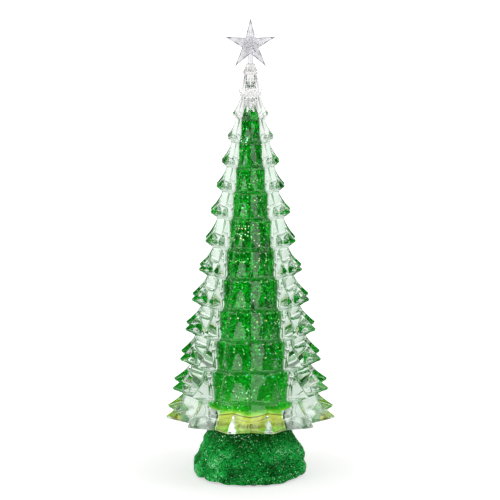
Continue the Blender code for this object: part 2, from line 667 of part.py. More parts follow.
def make_motor():
    """Can with its front boss and a bore for the shaft, and two screws that hold it under the bracket."""
    boss_top = MOTOR_BOSS_HEIGHT
    outline = [
        (0, -SHAFT_DEPTH - GAP),
        (SHAFT_RADIUS + GAP, -SHAFT_DEPTH - GAP),
        (SHAFT_RADIUS + GAP, boss_top),
        (MOTOR_BOSS_RADIUS, boss_top),
        (MOTOR_BOSS_RADIUS, 0),
        (MOTOR_RADIUS, 0),
        (MOTOR_RADIUS, -MOTOR_LENGTH),
        (0, -MOTOR_LENGTH),
    ]
    motor = turn("motor_can", outline, steel, (0, 0, MOTOR_TOP))
    length = GAP + BRACKET_THICKNESS + GAP + MOTOR_SCREW_BITE
    head = (MOTOR_SCREW_HEAD_RADIUS, MOTOR_SCREW_HEAD_HEIGHT)
    for number, (x, y, _) in enumerate(around(2, MOTOR_SCREW_RING), 1):
        depth = MOTOR_SCREW_BITE + GAP
        cut(motor, rod_mesh(MOTOR_SCREW_RADIUS + GAP, depth + OVERRUN, low=(0, 0, -depth)), (x, y, 0))
        outline = screw_outline(*head, MOTOR_SCREW_RADIUS, length)
        turn(f"motor_screw_{number}", outline, steel, (x, y, BRACKET_TOP + GAP), steps=12)


def make_drive():
    """Shaft and magnet carrier, which turn together."""
    shaft_top = CARRIER_TOP - CARRIER_ROOF - GAP
    shaft_bottom = MOTOR_TOP - SHAFT_DEPTH
    place("motor_shaft", rod_mesh(SHAFT_RADIUS, shaft_top - shaft_bottom), steel,
          (0, 0, shaft_bottom - CARRIER_BOTTOM), drive)
    bore = SHAFT_RADIUS + GAP
    bore_top = CARRIER_THICKNESS - CARRIER_ROOF
    outline = [
        (0, CARRIER_THICKNESS),
        (CARRIER_RADIUS, CARRIER_THICKNESS),
        (CARRIER_RADIUS, 0),
        (bore, 0),
        (bore, bore_top),
        (0, bore_top),
    ]
    holder = turn("magnet_carrier", outline, white_plastic, carrier=drive)
    for spot in magnet_spots(0):
        pocket = rod_mesh(MAGNET_RADIUS + GAP, POCKET_DEPTH + OVERRUN, low=(0, 0, CARRIER_FLOOR))
        cut(holder, pocket, spot)
    make_magnets("drive", CARRIER_FLOOR + GAP, drive)


def make_bracket():
    """Round plate under the shell's top ring that carries the motor and the LED board."""
    hole = MOTOR_BOSS_RADIUS + GAP
    outline = [
        (BRACKET_RADIUS, BRACKET_THICKNESS),
        (BRACKET_RADIUS, 0),
        (hole, 0),
        (hole, BRACKET_THICKNESS),
    ]
    bracket = turn("motor_bracket", outline, white_plastic, (0, 0, BRACKET_BOTTOM), steps=36, ring=True)
    through = BRACKET_THICKNESS + 2 * OVERRUN
    low = (0, 0, -OVERRUN)
    for spot in around(2, MOTOR_SCREW_RING):
        cut(bracket, rod_mesh(MOTOR_SCREW_RADIUS + GAP, through, low=low), spot)
    for spot in around(BRACKET_SCREW_COUNT, BRACKET_SCREW_RING, share=BRACKET_SCREW_TURN_SHARE):
        cut(bracket, rod_mesh(BRACKET_SCREW_RADIUS + GAP, through, low=low), spot)
    cut(bracket, rod_mesh(LEAD_HOLE_RADIUS, through, low=low), (led_ring_radius(), 0, 0))
    length = GAP + BRACKET_THICKNESS + GAP + SHELL_WALL + GAP + BRACKET_SCREW_BITE
    outline = screw_outline(
        BRACKET_SCREW_HEAD_RADIUS, BRACKET_SCREW_HEAD_HEIGHT, BRACKET_SCREW_RADIUS, length
    )
    spots = around(BRACKET_SCREW_COUNT, BRACKET_SCREW_RING, BRACKET_BOTTOM - GAP, BRACKET_SCREW_TURN_SHARE)
    for number, spot in enumerate(spots, 1):
        screw = turn(f"bracket_screw_{number}", outline, steel, spot, steps=12)
        screw.rotation_euler.x = math.pi


def led_ring_radius():
    inner = CARRIER_RADIUS + LED_BOARD_INNER_ROOM
    return (inner + RECESS_RADIUS - LED_BOARD_PLAY) / 2


def make_lamps():
    """Ring board on the bracket, with domed LEDs that shine up through the plug."""
    bottom = BRACKET_TOP + GAP
    outer = RECESS_RADIUS - LED_BOARD_PLAY
    inner = CARRIER_RADIUS + LED_BOARD_INNER_ROOM
    outline = [(outer, LED_BOARD_THICKNESS), (outer, 0), (inner, 0), (inner, LED_BOARD_THICKNESS)]
    turn("led_board", outline, white_solder_mask, (0, 0, bottom), steps=36, ring=True)
    dome = LED_FLANGE_HEIGHT + LED_STRAIGHT
    outline = [(0, dome + LED_RADIUS)]
    for share in LED_DOME_STEP_SHARES:
        angle = share * math.pi / 2
        outline.append((LED_RADIUS * math.sin(angle), dome + LED_RADIUS * math.cos(angle)))
    outline += [
        (LED_RADIUS, dome),
        (LED_RADIUS, LED_FLANGE_HEIGHT),
        (LED_FLANGE_RADIUS, LED_FLANGE_HEIGHT),
        (LED_FLANGE_RADIUS, 0),
        (0, 0),
    ]
    spots = around(LED_COUNT, led_ring_radius(), LED_BOTTOM, 0.5)
    for number, spot in enumerate(spots, 1):
        turn(f"led_{number}", outline, clear_epoxy, spot, steps=12)


def rock_lumps(angle, height_share):
    """Lumps of the rock as a share of its relief: waves that lean, then mounds and a hollow."""
    lumps = np.zeros_like(angle)
    for rise, count, start, lean in ROCK_WAVE_SHARES:
        lumps += rise * np.sin(count * angle + start + lean * height_share)
    for rise, turn_share, middle, width, height in ROCK_MOUND_SHARES:
        away = (angle - turn_share * 2 * math.pi + math.pi) % (2 * math.pi) - math.pi
        lumps += rise * np.exp(-((away / width) ** 2) - ((height_share - middle) / height) ** 2)
    return lumps


def rock_radius(share):
    """Radius at a share of the way from the neck to the widest place."""
    return NECK_RADIUS + (BASE_RADIUS - NECK_RADIUS) * share


def shell_ring(radius, height, relief=0.0):
    angle = np.arange(SHELL_COLUMN_COUNT) * 2 * math.pi / SHELL_COLUMN_COUNT
    radius = radius + relief * rock_lumps(angle, height / BASE_HEIGHT)
    return np.column_stack([radius * np.cos(angle), radius * np.sin(angle), np.full_like(angle, height)])


def make_base_shell():
    """Hollow rock, open at the top for the lamps and at the bottom for the base plate."""
    flange_bottom = PLATE_TOP + GAP
    rings = [shell_ring(OPENING_RADIUS, BASE_HEIGHT)]
    for inset_share, height_share, relief_share in NECK_ROUNDING_SHARES:
        inset = SHELL_WALL * inset_share
        rings.append(shell_ring(NECK_RADIUS - inset, BASE_HEIGHT * height_share, ROCK_RELIEF * relief_share))
    for radius_share, height_share, relief_share in SHELL_OUTLINE_SHARES:
        relief = ROCK_RELIEF * relief_share
        rings.append(shell_ring(rock_radius(radius_share), BASE_HEIGHT * height_share, relief))
    rings += [
        shell_ring(rock_radius(SHELL_FOOT_SHARE), SHELL_CLEARANCE, ROCK_RELIEF / 3),
        shell_ring(PLATE_RECESS_RADIUS, SHELL_CLEARANCE),
        shell_ring(PLATE_RECESS_RADIUS, flange_bottom),
        shell_ring(FLANGE_RADIUS, flange_bottom),
        shell_ring(FLANGE_RADIUS, flange_bottom + FLANGE_THICKNESS),
    ]
    under_top = BASE_HEIGHT - SHELL_WALL
    inside = []
    for radius_share, height_share, relief_share in SHELL_OUTLINE_SHARES[2:-2:2]:
        inner = rock_radius(radius_share) - SHELL_WALL - ROCK_RELIEF * relief_share
        inside.append(shell_ring(max(inner, NECK_RADIUS - SHELL_WALL), BASE_HEIGHT * height_share))
    rings += inside[::-1]
    rings += [shell_ring(NECK_RADIUS - SHELL_WALL, under_top), shell_ring(OPENING_RADIUS, under_top)]
    shell = closed_loft("base_shell", rings, glitter_coat)
    through = SHELL_WALL + 2 * OVERRUN
    for spot in around(BRACKET_SCREW_COUNT, BRACKET_SCREW_RING, under_top, BRACKET_SCREW_TURN_SHARE):
        cut(shell, rod_mesh(BRACKET_SCREW_RADIUS + GAP, through, low=(0, 0, -OVERRUN)), spot)
    for x, y in base_screw_spots():
        hole = rod_mesh(BASE_SCREW_RADIUS + GAP, BASE_SCREW_BITE + GAP + OVERRUN, low=(0, 0, -OVERRUN))
        cut(shell, hole, (x, y, flange_bottom))


def closed_loft(name, rings, material):
    """Skins rings of equal counts, one after another and the last onto the first, as a ring-shaped shell."""
    count = len(rings[0])
    points = np.concatenate(rings)
    faces = []
    for ring in range(len(rings)):
        start, other = ring * count, (ring + 1) % len(rings) * count
        for i in range(count):
            j = (i + 1) % count
            faces.append((start + i, other + i, other + j, start + j))
    mesh = bpy.data.meshes.new(name)
    mesh.from_pydata(points.tolist(), [], faces)
    return place(name, outward(mesh), material)


def base_screw_spots():
    angles = [share * 2 * math.pi for share in BASE_SCREW_TURN_SHARES]
    return [(BASE_SCREW_RING * math.cos(angle), BASE_SCREW_RING * math.sin(angle)) for angle in angles]


def door_axis():
    """The door's pins: as far in from its end as from its faces."""
    x = -(BOX_INNER_LENGTH / 2 - DOOR_PLAY - DOOR_THICKNESS / 2)
    return (x, 0, DOOR_BOTTOM + DOOR_THICKNESS / 2)


def knob_spot():
    return (BOARD_X, -KNOB_TRAVEL / 2, 0)


def make_base_plate():
    """Round plate with the door's opening and pin slots, the switch slot, screw holes and board posts."""
    plate = place("base_plate", rod_mesh(PLATE_RADIUS, PLATE_THICKNESS, SHELL_COLUMN_COUNT), black_plastic,
                  (0, 0, PLATE_BOTTOM))
    through = PLATE_THICKNESS + 2 * OVERRUN
    low = (0, 0, -OVERRUN)
    cut(plate, box_mesh((BOX_INNER_LENGTH, BOX_INNER_WIDTH, through), low))
    axis_x, _, axis_z = door_axis()
    slot_floor = axis_z - DOOR_PIN_RADIUS - GAP - PLATE_BOTTOM
    slot_length = BOX_INNER_WIDTH + 2 * (DOOR_PIN_LENGTH + GAP)
    slot = (2 * (DOOR_PIN_RADIUS + GAP), slot_length, PLATE_THICKNESS + OVERRUN - slot_floor)
    cut(plate, box_mesh(slot, (axis_x, 0, slot_floor)))
    slot = (KNOB_SIZE[0] + 2 * SLOT_PLAY, KNOB_SIZE[1] + KNOB_TRAVEL + 2 * SLOT_PLAY, through)
    cut(plate, box_mesh(slot, low), (BOARD_X, 0, 0))
    for x, y in base_screw_spots():
        cut(plate, rod_mesh(BASE_SCREW_RADIUS + GAP, through, low=low), (x, y, 0))
    length = BOARD_BOTTOM - GAP - PLATE_TOP
    for x, y in post_spots():
        join(plate, rod_mesh(POST_RADIUS, length + OVERRUN, low=(0, 0, PLATE_THICKNESS - OVERRUN)), (x, y, 0))


def post_spots():
    x = BOARD_X + BOARD_SIZE[0] / 2 - POST_INSET
    y = BOARD_SIZE[1] / 2 - POST_INSET
    return [(x, -y), (x, y)]


def make_plate_fasteners():
    length = GAP + PLATE_THICKNESS + GAP + BASE_SCREW_BITE
    outline = screw_outline(BASE_SCREW_HEAD_RADIUS, BASE_SCREW_HEAD_HEIGHT, BASE_SCREW_RADIUS, length)
    for number, (x, y) in enumerate(base_screw_spots(), 1):
        screw = turn(f"base_screw_{number}", outline, steel, (x, y, PLATE_BOTTOM - GAP), steps=12)
        screw.rotation_euler.x = math.pi
    for number, spot in enumerate(around(FOOT_COUNT, FOOT_RING, share=0.5), 1):
        place(f"foot_{number}", rod_mesh(FOOT_RADIUS, FOOT_HEIGHT, COLUMN_COUNT), black_rubber, spot)


def make_battery_box():
    """Tray, open downwards, over the plate's opening."""
    size = (
        BOX_INNER_LENGTH + 2 * BOX_WALL,
        BOX_INNER_WIDTH + 2 * BOX_WALL,
        BOX_INNER_HEIGHT + BOX_WALL,
    )
    tray = place("battery_box", box_mesh(size), black_plastic, (0, 0, PLATE_TOP + GAP))
    hollow = (BOX_INNER_LENGTH, BOX_INNER_WIDTH, BOX_INNER_HEIGHT + OVERRUN)
    cut(tray, box_mesh(hollow, (0, 0, -OVERRUN)))


def make_cells():
    """Three cells side by side, each the other way round from the last, with a plate and a spring each."""
    height = PLATE_TOP + GAP + CELL_PLAY / 2 + CELL_RADIUS
    inner_end = BOX_INNER_LENGTH / 2
    for number in range(CELL_COUNT):
        facing = 1 if number % 2 == 0 else -1
        y = (number - (CELL_COUNT - 1) / 2) * CELL_PITCH
        turned_by = Matrix.Rotation(facing * math.pi / 2, 4, "Y")
        nub_end = inner_end - 2 * GAP - CONTACT_THICKNESS
        outline = [
            (0, nub_end),
            (CELL_NUB_RADIUS, nub_end),
            (CELL_NUB_RADIUS, nub_end - CELL_NUB_LENGTH),
            (CELL_RADIUS, nub_end - CELL_NUB_LENGTH),
            (CELL_RADIUS, nub_end - CELL_LENGTH),
            (0, nub_end - CELL_LENGTH),
        ]
        cell = turn(f"battery_cell_{number + 1}", outline, cell_sleeve, (0, y, height), steps=16)
        cell.rotation_euler = turned_by.to_euler()
        plate = box_mesh((CONTACT_THICKNESS, CONTACT_SIDE, CONTACT_SIDE), (0, 0, -CONTACT_SIDE / 2))
        plate_x = facing * (inner_end - GAP - CONTACT_THICKNESS / 2)
        place(f"contact_plate_{number + 1}", plate, nickel, (plate_x, y, height))
        make_contact_spring(number + 1, -facing, inner_end, nub_end - CELL_LENGTH, y, height)


def make_contact_spring(number, side, inner_end, cell_end, y, height):
    """A coil that narrows towards the cell, from the box's end wall."""
    count = SPRING_TURN_COUNT * SPRING_STEP_COUNT
    share = np.arange(count + 1) / count
    angle = share * SPRING_TURN_COUNT * 2 * math.pi
    radius = SPRING_RADIUS * (1 + (SPRING_TAPER_SHARE - 1) * share)
    start = inner_end - GAP - SPRING_WIRE_RADIUS
    end = -cell_end + GAP + SPRING_WIRE_RADIUS
    along = side * (start + (end - start) * share)
    points = np.column_stack([along, radius * np.cos(angle), radius * np.sin(angle)])
    wire(f"contact_spring_{number}", points, SPRING_WIRE_RADIUS, nickel, (0, y, height), 0)


def wire(name, points, radius, material, spot=(0, 0, 0), bevel_resolution=1):
    """A round wire along the points, with closed ends."""
    curve = bpy.data.curves.new(name, "CURVE")
    curve.dimensions = "3D"
    curve.bevel_depth = radius
    curve.bevel_resolution = bevel_resolution
    curve.use_fill_caps = True
    spline = curve.splines.new("POLY")
    spline.points.add(len(points) - 1)
    for point, (x, y, z) in zip(spline.points, points):
        point.co = (x, y, z, 1)
    return place(name, curve, material, spot)


def lead(name, start, start_bend, end, end_bend, material):
    """A lead that leaves both ends straight: a cubic curve pulled along the ends' directions."""
    ends = [np.array(start), np.array(start) + start_bend, np.array(end) + end_bend, np.array(end)]
    share = np.linspace(0, 1, LEAD_POINT_COUNT)[:, None]
    points = (
        ends[0] * (1 - share) ** 3
        + 3 * ends[1] * (1 - share) ** 2 * share
        + 3 * ends[2] * (1 - share) * share**2
        + ends[3] * share**3
    )
    wire(name, points, LEAD_RADIUS, material)


def make_battery_door():
    """Flat lid that swings on two pins at one end, with a finger grip at the other."""
    x, y, z = door_axis()
    length = BOX_INNER_LENGTH - 2 * DOOR_PLAY
    width = BOX_INNER_WIDTH - 2 * DOOR_PLAY
    door = place("battery_door", box_mesh((length, width, DOOR_THICKNESS), (-x, 0, -DOOR_THICKNESS / 2)),
                 black_plastic, carrier=door_hinge)
    pin_length = width + 2 * (DOOR_PLAY + DOOR_PIN_LENGTH)
    lying = Matrix.Rotation(math.pi / 2, 4, "X")
    join(door, rod_mesh(DOOR_PIN_RADIUS, pin_length, 12, (0, 0, -pin_length / 2)), turned_by=lying)
    grip = (DOOR_GRIP_REACH, DOOR_GRIP_WIDTH, DOOR_GRIP_DEPTH + OVERRUN)
    grip_x = -x + length / 2 - DOOR_GRIP_REACH
    cut(door, box_mesh(grip, (grip_x, 0, -DOOR_THICKNESS / 2 - OVERRUN)))


def make_control():
    """Board with its chip on top and the slide switch beneath, whose knob reaches through the plate."""
    board = (*BOARD_SIZE, BOARD_THICKNESS)
    place("control_board", box_mesh(board), green_solder_mask, (BOARD_X, 0, BOARD_BOTTOM))
    place("control_chip", box_mesh(CHIP_SIZE), black_plastic, (BOARD_X, 0, BOARD_TOP + GAP))
    body_bottom = PLATE_TOP + SWITCH_LIFT + GAP
    place("switch_body", box_mesh(SWITCH_BODY_SIZE), steel, (BOARD_X, 0, body_bottom))
    knob_bottom = PLATE_BOTTOM - KNOB_PROUD
    knob = (*KNOB_SIZE, body_bottom - GAP - knob_bottom)
    place("switch_knob", box_mesh(knob, (0, 0, knob_bottom)), white_plastic, carrier=switch_slide)


def make_leads():
    board_z = BOARD_TOP + GAP
    inner_x = BOARD_X - BOARD_SIZE[0] / 2 + POST_INSET
    outer_x = BOARD_X + BOARD_SIZE[0] / 2 - POST_INSET / 2
    side_y = BOARD_SIZE[1] / 2 - POST_INSET
    up = np.array((0, 0, 1))
    for name, side, material in (("red", 1, red_vinyl), ("black", -1, black_vinyl)):
        cell_z = PLATE_TOP + CELL_RADIUS
        start = (BOX_END + GAP, side * CELL_PITCH, cell_z)
        end = (inner_x, side * side_y, board_z)
        lead(f"battery_lead_{name}", start, (SHORT_BEND, 0, 0), end, up * SHORT_BEND, material)
        start = (MOTOR_LEAD_SPOT[0], side * MOTOR_LEAD_SPOT[1], MOTOR_TOP - MOTOR_LENGTH - GAP)
        end = (outer_x, side * side_y, board_z)
        lead(f"motor_lead_{name}", start, -up * MIDDLE_BEND, end, up * LONG_BEND, material)
    start = (led_ring_radius(), 0, BRACKET_TOP)
    end = (outer_x, 0, board_z)
    lead("led_lead", start, -up * LONG_BEND, end, up * LONG_BEND, white_vinyl)


clear_scene()
parts = new_collection("water_lantern_tree")
cutters = new_collection("cutters")

clear_acrylic = new_material("clear_acrylic", (0.86, 0.93, 0.89), 0.05, alpha=0.35)
green_liquid = new_material("green_glitter_liquid", (0.0, 0.28, 0.04), 0.1)
glitter_coat = new_material("green_glitter_coat", (0.0, 0.2, 0.05), 0.4, 0.3)
black_rubber = new_material("black_rubber", (0.02, 0.02, 0.02), 0.8)
black_plastic = new_material("black_plastic", (0.03, 0.03, 0.03), 0.5)
white_plastic = new_material("white_plastic", (0.85, 0.85, 0.83), 0.4)
white_solder_mask = new_material("white_solder_mask", (0.9, 0.9, 0.88), 0.35)
green_solder_mask = new_material("green_solder_mask", (0.01, 0.2, 0.06), 0.35)
clear_epoxy = new_material("clear_epoxy", (0.95, 0.97, 0.9), 0.1)
steel = new_material("steel", (0.62, 0.62, 0.62), 0.3, 1.0)
nickel = new_material("nickel", (0.75, 0.74, 0.7), 0.25, 1.0)
cell_sleeve = new_material("cell_sleeve", (0.35, 0.36, 0.38), 0.35, 0.4)
red_vinyl = new_material("red_vinyl", (0.6, 0.02, 0.02), 0.45)
black_vinyl = new_material("black_vinyl", (0.02, 0.02, 0.02), 0.45)
white_vinyl = new_material("white_vinyl", (0.8, 0.8, 0.78), 0.45)

tank = new_carrier("tank_origin", (0, 0, PLUG_BOTTOM))
stirrer = new_carrier("impeller_axis", (0, 0, PLUG_BOTTOM + IMPELLER_BOTTOM))
drive = new_carrier("drive_axis", (0, 0, CARRIER_BOTTOM))
door_hinge = new_carrier("door_axis", door_axis())
switch_slide = new_carrier("switch_axis", knob_spot())

make_tree_body()
make_glitter_liquid()
make_star_topper()
make_tank_plug()
make_plug_seal()
make_fill_stopper()
make_impeller()
make_motor()
make_drive()
make_bracket()
make_lamps()
make_base_shell()
make_base_plate()
make_plate_fasteners()
make_battery_box()
make_cells()
make_battery_door()
make_control()
make_leads()

for piece in parts.objects:
    shade_round(piece)
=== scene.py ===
"""Looks of a water lantern: a pleated clear christmas tree of green glitter liquid, on a rock base."""

import math

import bmesh
import bpy
import numpy as np
from bpy.props import FloatProperty, FloatVectorProperty, IntProperty, PointerProperty
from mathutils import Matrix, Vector


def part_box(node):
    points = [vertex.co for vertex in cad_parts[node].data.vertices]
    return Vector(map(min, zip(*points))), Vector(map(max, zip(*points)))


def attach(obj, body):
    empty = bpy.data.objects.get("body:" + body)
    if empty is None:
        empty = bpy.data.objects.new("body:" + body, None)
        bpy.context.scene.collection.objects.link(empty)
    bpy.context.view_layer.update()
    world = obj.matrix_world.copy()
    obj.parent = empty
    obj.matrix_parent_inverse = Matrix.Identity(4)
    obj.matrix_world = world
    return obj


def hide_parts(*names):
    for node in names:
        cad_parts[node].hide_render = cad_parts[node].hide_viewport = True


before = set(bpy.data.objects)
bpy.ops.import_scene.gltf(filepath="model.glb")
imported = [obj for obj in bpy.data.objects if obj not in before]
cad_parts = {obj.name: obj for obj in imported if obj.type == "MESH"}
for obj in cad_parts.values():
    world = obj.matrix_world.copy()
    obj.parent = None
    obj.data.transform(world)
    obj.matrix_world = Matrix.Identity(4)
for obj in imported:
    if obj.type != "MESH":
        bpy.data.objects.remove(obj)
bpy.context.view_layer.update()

bl_info = {
    "name": "Water Lantern Christmas Tree",
    "version": (1, 0, 0),
    "blender": (4, 5, 0),
    "location": "View3D > Sidebar > Lantern",
    "description": "Builds the looks of a pleated glitter lantern around its packed frame",
    "category": "Add Mesh",
}

# Frame: where the CAD pieces stand, in metres
PLUG_LOW, PLUG_HIGH = (Vector(corner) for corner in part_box("tank_plug"))
TREE_HIGH = Vector(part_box("tree_body")[1])
LIQUID_LOW, LIQUID_HIGH = (Vector(corner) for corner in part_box("glitter_liquid"))
STAR_LOW, STAR_HIGH = (Vector(corner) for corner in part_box("star_topper"))
SHELL_LOW, SHELL_HIGH = (Vector(corner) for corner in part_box("base_shell"))
PLUG_BOTTOM = PLUG_LOW.z
GAP = 0.0003
MERGE_DISTANCE = 0.00001
# Edges sharper than this stay sharp, in degrees
TREE_SHARP, STEM_SHARP, ROCK_SHARP = 50, 40, 60

# Tree: the star's hole, the foot round the plug, rows of the hollow, of its dome and of a rim
STAR_HOLE_RADIUS, STAR_HOLE_DEPTH = 0.0021, 0.0083
FOOT_WIDTH, FOOT_RISE = 0.0055, 0.0015
HOLLOW_ROWS, DOME_ROWS, RIM_ROWS = 40, 9, 5
# Crown: how many tiers differ from the rest, and their valleys and lips at the very top
CROWN_TIERS, CROWN_WAIST_VALLEY, CROWN_RIM_VALLEY, CROWN_LIP_GAIN = 4, 0.96, 0.93, 1.2
# Painted green light in the acrylic fades out around the liquid's surface, and painted lamp light across
# the foot
CROWN_FADE_BELOW, CROWN_FADE_ABOVE = 0.05, 0.005
LAMP_GLOW_START, LAMP_GLOW_END, FOOT_GLOW_TINT_END = 0.046, 0.054, 0.08
ACRYLIC_INDEX, WATER_INDEX = 1.49, 1.34

# Liquid: its rows and columns, room round and over the stirrer, and how far up the lamps reach
LIQUID_ROWS, LIQUID_COLUMNS = 60, 96
STIRRER_PLAY, STIRRER_HEADROOM = 0.0015, 0.002
LAMP_REACH = 0.09
# Its flakes: where they start and end as shares of its depth, how they crowd, their sizes and tilt
FLAKE_START, FLAKE_END, FLAKE_CROWDING = 0.02, 0.995, 0.75
LIQUID_FLAKE_SIZES, LIQUID_FLAKE_TILT = (0.55, 1.25), 0.05

# Star: columns along each side of a point, and where its facets break between hub and outline
STAR_STEPS = 6
STAR_FACET_SHARES = (0, 0.25, 0.5, 0.72, 0.87, 1)
# Its hub: radius and sway of the radius as shares of the notch radius, depths as shares of the star's
HUB_SHARE, HUB_SWAY = 0.5, 0.12
RING_SHARE, RING_DEPTH = 0.5, 0.9
FACET_LOW, FACET_RISE = 0.32, 0.62
RING_SWAYS = (0.14, 0.16, 0.05)
STAR_HAZE, STAR_CLEAR_UNTIL = 0.02, 0.2
SPIGOT_RADIUS, SPIGOT_BEVEL, STEM_BEVEL, STEM_COLUMNS = 0.0018, 0.0003, 0.0002, 32
# Stem inside the star: share of its radius, and depth below the middle as a share of the notch radius
STEM_TOP_ROWS = ((0.94, 0.86), (0.7, 0.62), (0, 0.6))

# Stage: floor, lamps and camera as the photograph was taken
FLOOR_RADIUS, FLOOR_SIDES, FLOOR_DROP = 30.0, 64, 0.0002
SHADOW_START, SHADOW_END = 0.08, 0.5
MIRRORED_START, MIRRORED_END = 0.42, 0.6
SOFTBOX_X, SOFTBOX_Y = -1.62, -0.79
FILL_PLACE, FILL_SIZE = (1.5, -0.5, 1.7), (1.2, 1.2)
LANTERN_MIDDLE = Vector((0, 0, 0.23))
CAMERA_PLACE, CAMERA_AIM = Vector((-0.0005, -2.0176, 0.593)), Vector((-0.0005, 0, 0.230))
LENS, SENSOR_WIDTH = 147.6, 36

# Tiers, as on the CAD tree: share of the span below the top tips, share of the reach past the top tips
TIER_DROP_SHARES = np.array((
    0, 0.055, 0.118, 0.184, 0.254, 0.325, 0.4, 0.484, 0.567, 0.655, 0.742, 0.83, 0.916, 1))
TIER_REACH_SHARES = np.array((
    0, 0.058, 0.129, 0.2, 0.274, 0.343, 0.42, 0.488, 0.571, 0.665, 0.75, 0.82, 0.916, 1))
# Rows of a tier, as shares of its drop from waist to tips
SKIRT_SHARES = np.array((0.0, 0.04, 0.1, 0.2, 0.35, 0.5, 0.65, 0.8, 0.91, 0.97, 1.0))


def linear(hex_colour):
    """Linear red, green and blue of an sRGB hex value."""
    channels = np.array([int(hex_colour[start:start + 2], 16) for start in (1, 3, 5)]) / 255
    curved = ((channels + 0.055) / 1.055) ** 2.4
    return tuple(np.where(channels <= 0.04045, channels / 12.92, curved).tolist())


class TreeSettings(bpy.types.PropertyGroup):
    pleats: IntProperty(name="Pleats", description="Ridges around each tier", default=12, min=6, max=24)
    tip_radius_low: FloatProperty(
        name="Lowest tips", description="Reach of the lowest tier", default=0.0878, unit="LENGTH")
    tip_radius_high: FloatProperty(
        name="Highest tips", description="Reach of the highest tier", default=0.0078, unit="LENGTH")
    tier_span: FloatProperty(
        name="Tier span", description="From the lowest tips up to the highest", default=0.343,
        unit="LENGTH")
    lowest_tip: FloatProperty(
        name="Lowest tip", description="Height of the lowest tips above the plug's underside",
        default=0.003, unit="LENGTH")
    waist_share: FloatProperty(
        name="Waist", description="A tier starts at this share of the reach of the one above",
        default=0.83, subtype="FACTOR")
    waist_valley_share: FloatProperty(
        name="Waist valleys", description="Valley radius at a waist, of the ridge radius", default=0.86,
        subtype="FACTOR")
    rim_valley_share: FloatProperty(
        name="Rim valleys", description="Valley radius at a rim, of the ridge radius", default=0.78,
        subtype="FACTOR")
    valley_drop_share: FloatProperty(
        name="Valley drop", description="How far valleys hang below tips, of the tier's height",
        default=0.11, subtype="FACTOR")
    underside_drop_share: FloatProperty(
        name="Underside",
        description="How far a waist lies below the tips above it, of their tier's height",
        default=0.26, subtype="FACTOR")
    flare_power: FloatProperty(
        name="Flare", description="Above 1 the skirts are hollow like a bell", default=1.6)
    top_radius: FloatProperty(
        name="Top", description="Radius of the tree's top", default=0.0047, unit="LENGTH")
    top_cap_height: FloatProperty(
        name="Top cap", description="Height of the top above its tips", default=0.008, unit="LENGTH")
    columns: IntProperty(
        name="Columns", description="Columns of faces from a valley to a ridge", default=8, min=4,
        max=40)
    haze: FloatProperty(
        name="Haze", description="Roughness of the moulded surface", default=0.05, subtype="FACTOR")
    bulge: FloatProperty(
        name="Bulge",
        description="Swelling of each facet between valley and ridge, of the pleat's depth",
        default=0.08, subtype="FACTOR")
    crest_share: FloatProperty(
        name="Ridge rounding", description="Share of a facet that rounds into its ridge", default=0.04,
        subtype="FACTOR")
    crease_share: FloatProperty(
        name="Valley rounding", description="Share of a facet that rounds into its valley",
        default=0.03, subtype="FACTOR")
    lip_share: FloatProperty(
        name="Lip", description="Height of the round lip under a tip, of the tier's height",
        default=0.08, subtype="FACTOR")
    lip_reach: FloatProperty(
        name="Lip reach", description="Depth of the lip, of its height", default=0.6, subtype="FACTOR")
    # The tint's green is painted light from the filling. Edge tints: longer path and painted shade at
    # grazing view
    tint: FloatVectorProperty(
        name="Acrylic tint", description="Colour of the clear moulding beside the filling",
        default=linear("#e6f7e9"), size=3, subtype="COLOR")
    crown: FloatVectorProperty(
        name="Crown tint", description="Colour of the clear moulding above the filling",
        default=linear("#f7f7f6"), size=3, subtype="COLOR")
    crown_edge: FloatVectorProperty(
        name="Crown edge tint", description="Colour of the crown seen along its surface",
        default=linear("#7c7a7c"), size=3, subtype="COLOR")
    edge: FloatVectorProperty(
        name="Edge tint", description="Colour of the moulding seen along its surface",
        default=linear("#2f9a56"), size=3, subtype="COLOR")
    star_edge: FloatVectorProperty(
        name="Star edge tint", description="Colour of the star seen along its surface",
        default=linear("#2e2a32"), size=3, subtype="COLOR")


class StarSettings(bpy.types.PropertyGroup):
    arms: IntProperty(name="Arms", description="Points of the star", default=5, min=4, max=12)
    radius: FloatProperty(
        name="Radius", description="From the middle to a point", default=0.026, unit="LENGTH")
    notch_radius: FloatProperty(
        name="Notch radius", description="From the middle to a notch", default=0.0086, unit="LENGTH")
    depth: FloatProperty(
        name="Depth", description="Half the thickness at the middle", default=0.0058, unit="LENGTH")
    edge: FloatProperty(
        name="Edge", description="Half the thickness of the outline", default=0.0009, unit="LENGTH")
    tint: FloatVectorProperty(
        name="Star tint", description="Colour of the clear star", default=linear("#f0f0f4"), size=3,
        subtype="COLOR")
    stem_radius: FloatProperty(
        name="Stem", description="Radius of the stem", default=0.0027, unit="LENGTH")


class LiquidSettings(bpy.types.PropertyGroup):
    top_radius: FloatProperty(
        name="Top radius", description="Radius of the hollow at the liquid's surface", default=0.0079,
        unit="LENGTH")
    bottom_radius: FloatProperty(
        name="Bottom radius", description="Radius of the hollow at the plug", default=0.0447,
        unit="LENGTH")
    power: FloatProperty(name="Taper", description="Power of the hollow's taper", default=1.0)
    air_height: FloatProperty(
        name="Air space", description="Height of the dome over the liquid", default=0.014,
        unit="LENGTH")
    flakes: IntProperty(
        name="Flakes", description="Glitter flakes against the wall", default=5200, min=0)
    flake_size: FloatProperty(
        name="Flake size", description="Across the corners of a flake", default=0.0013, unit="LENGTH")
    deep: FloatVectorProperty(
        name="Deep green", description="Dyed liquid between the flakes", default=linear("#002c04"),
        size=3, subtype="COLOR")
    bright: FloatVectorProperty(
        name="Bright green", description="Glitter that faces the light", default=linear("#00b420"),
        size=3, subtype="COLOR")
    glow: FloatVectorProperty(
        name="Lamp glow", description="Lamp light in the plug", default=linear("#cfee4c"), size=3,
        subtype="COLOR")


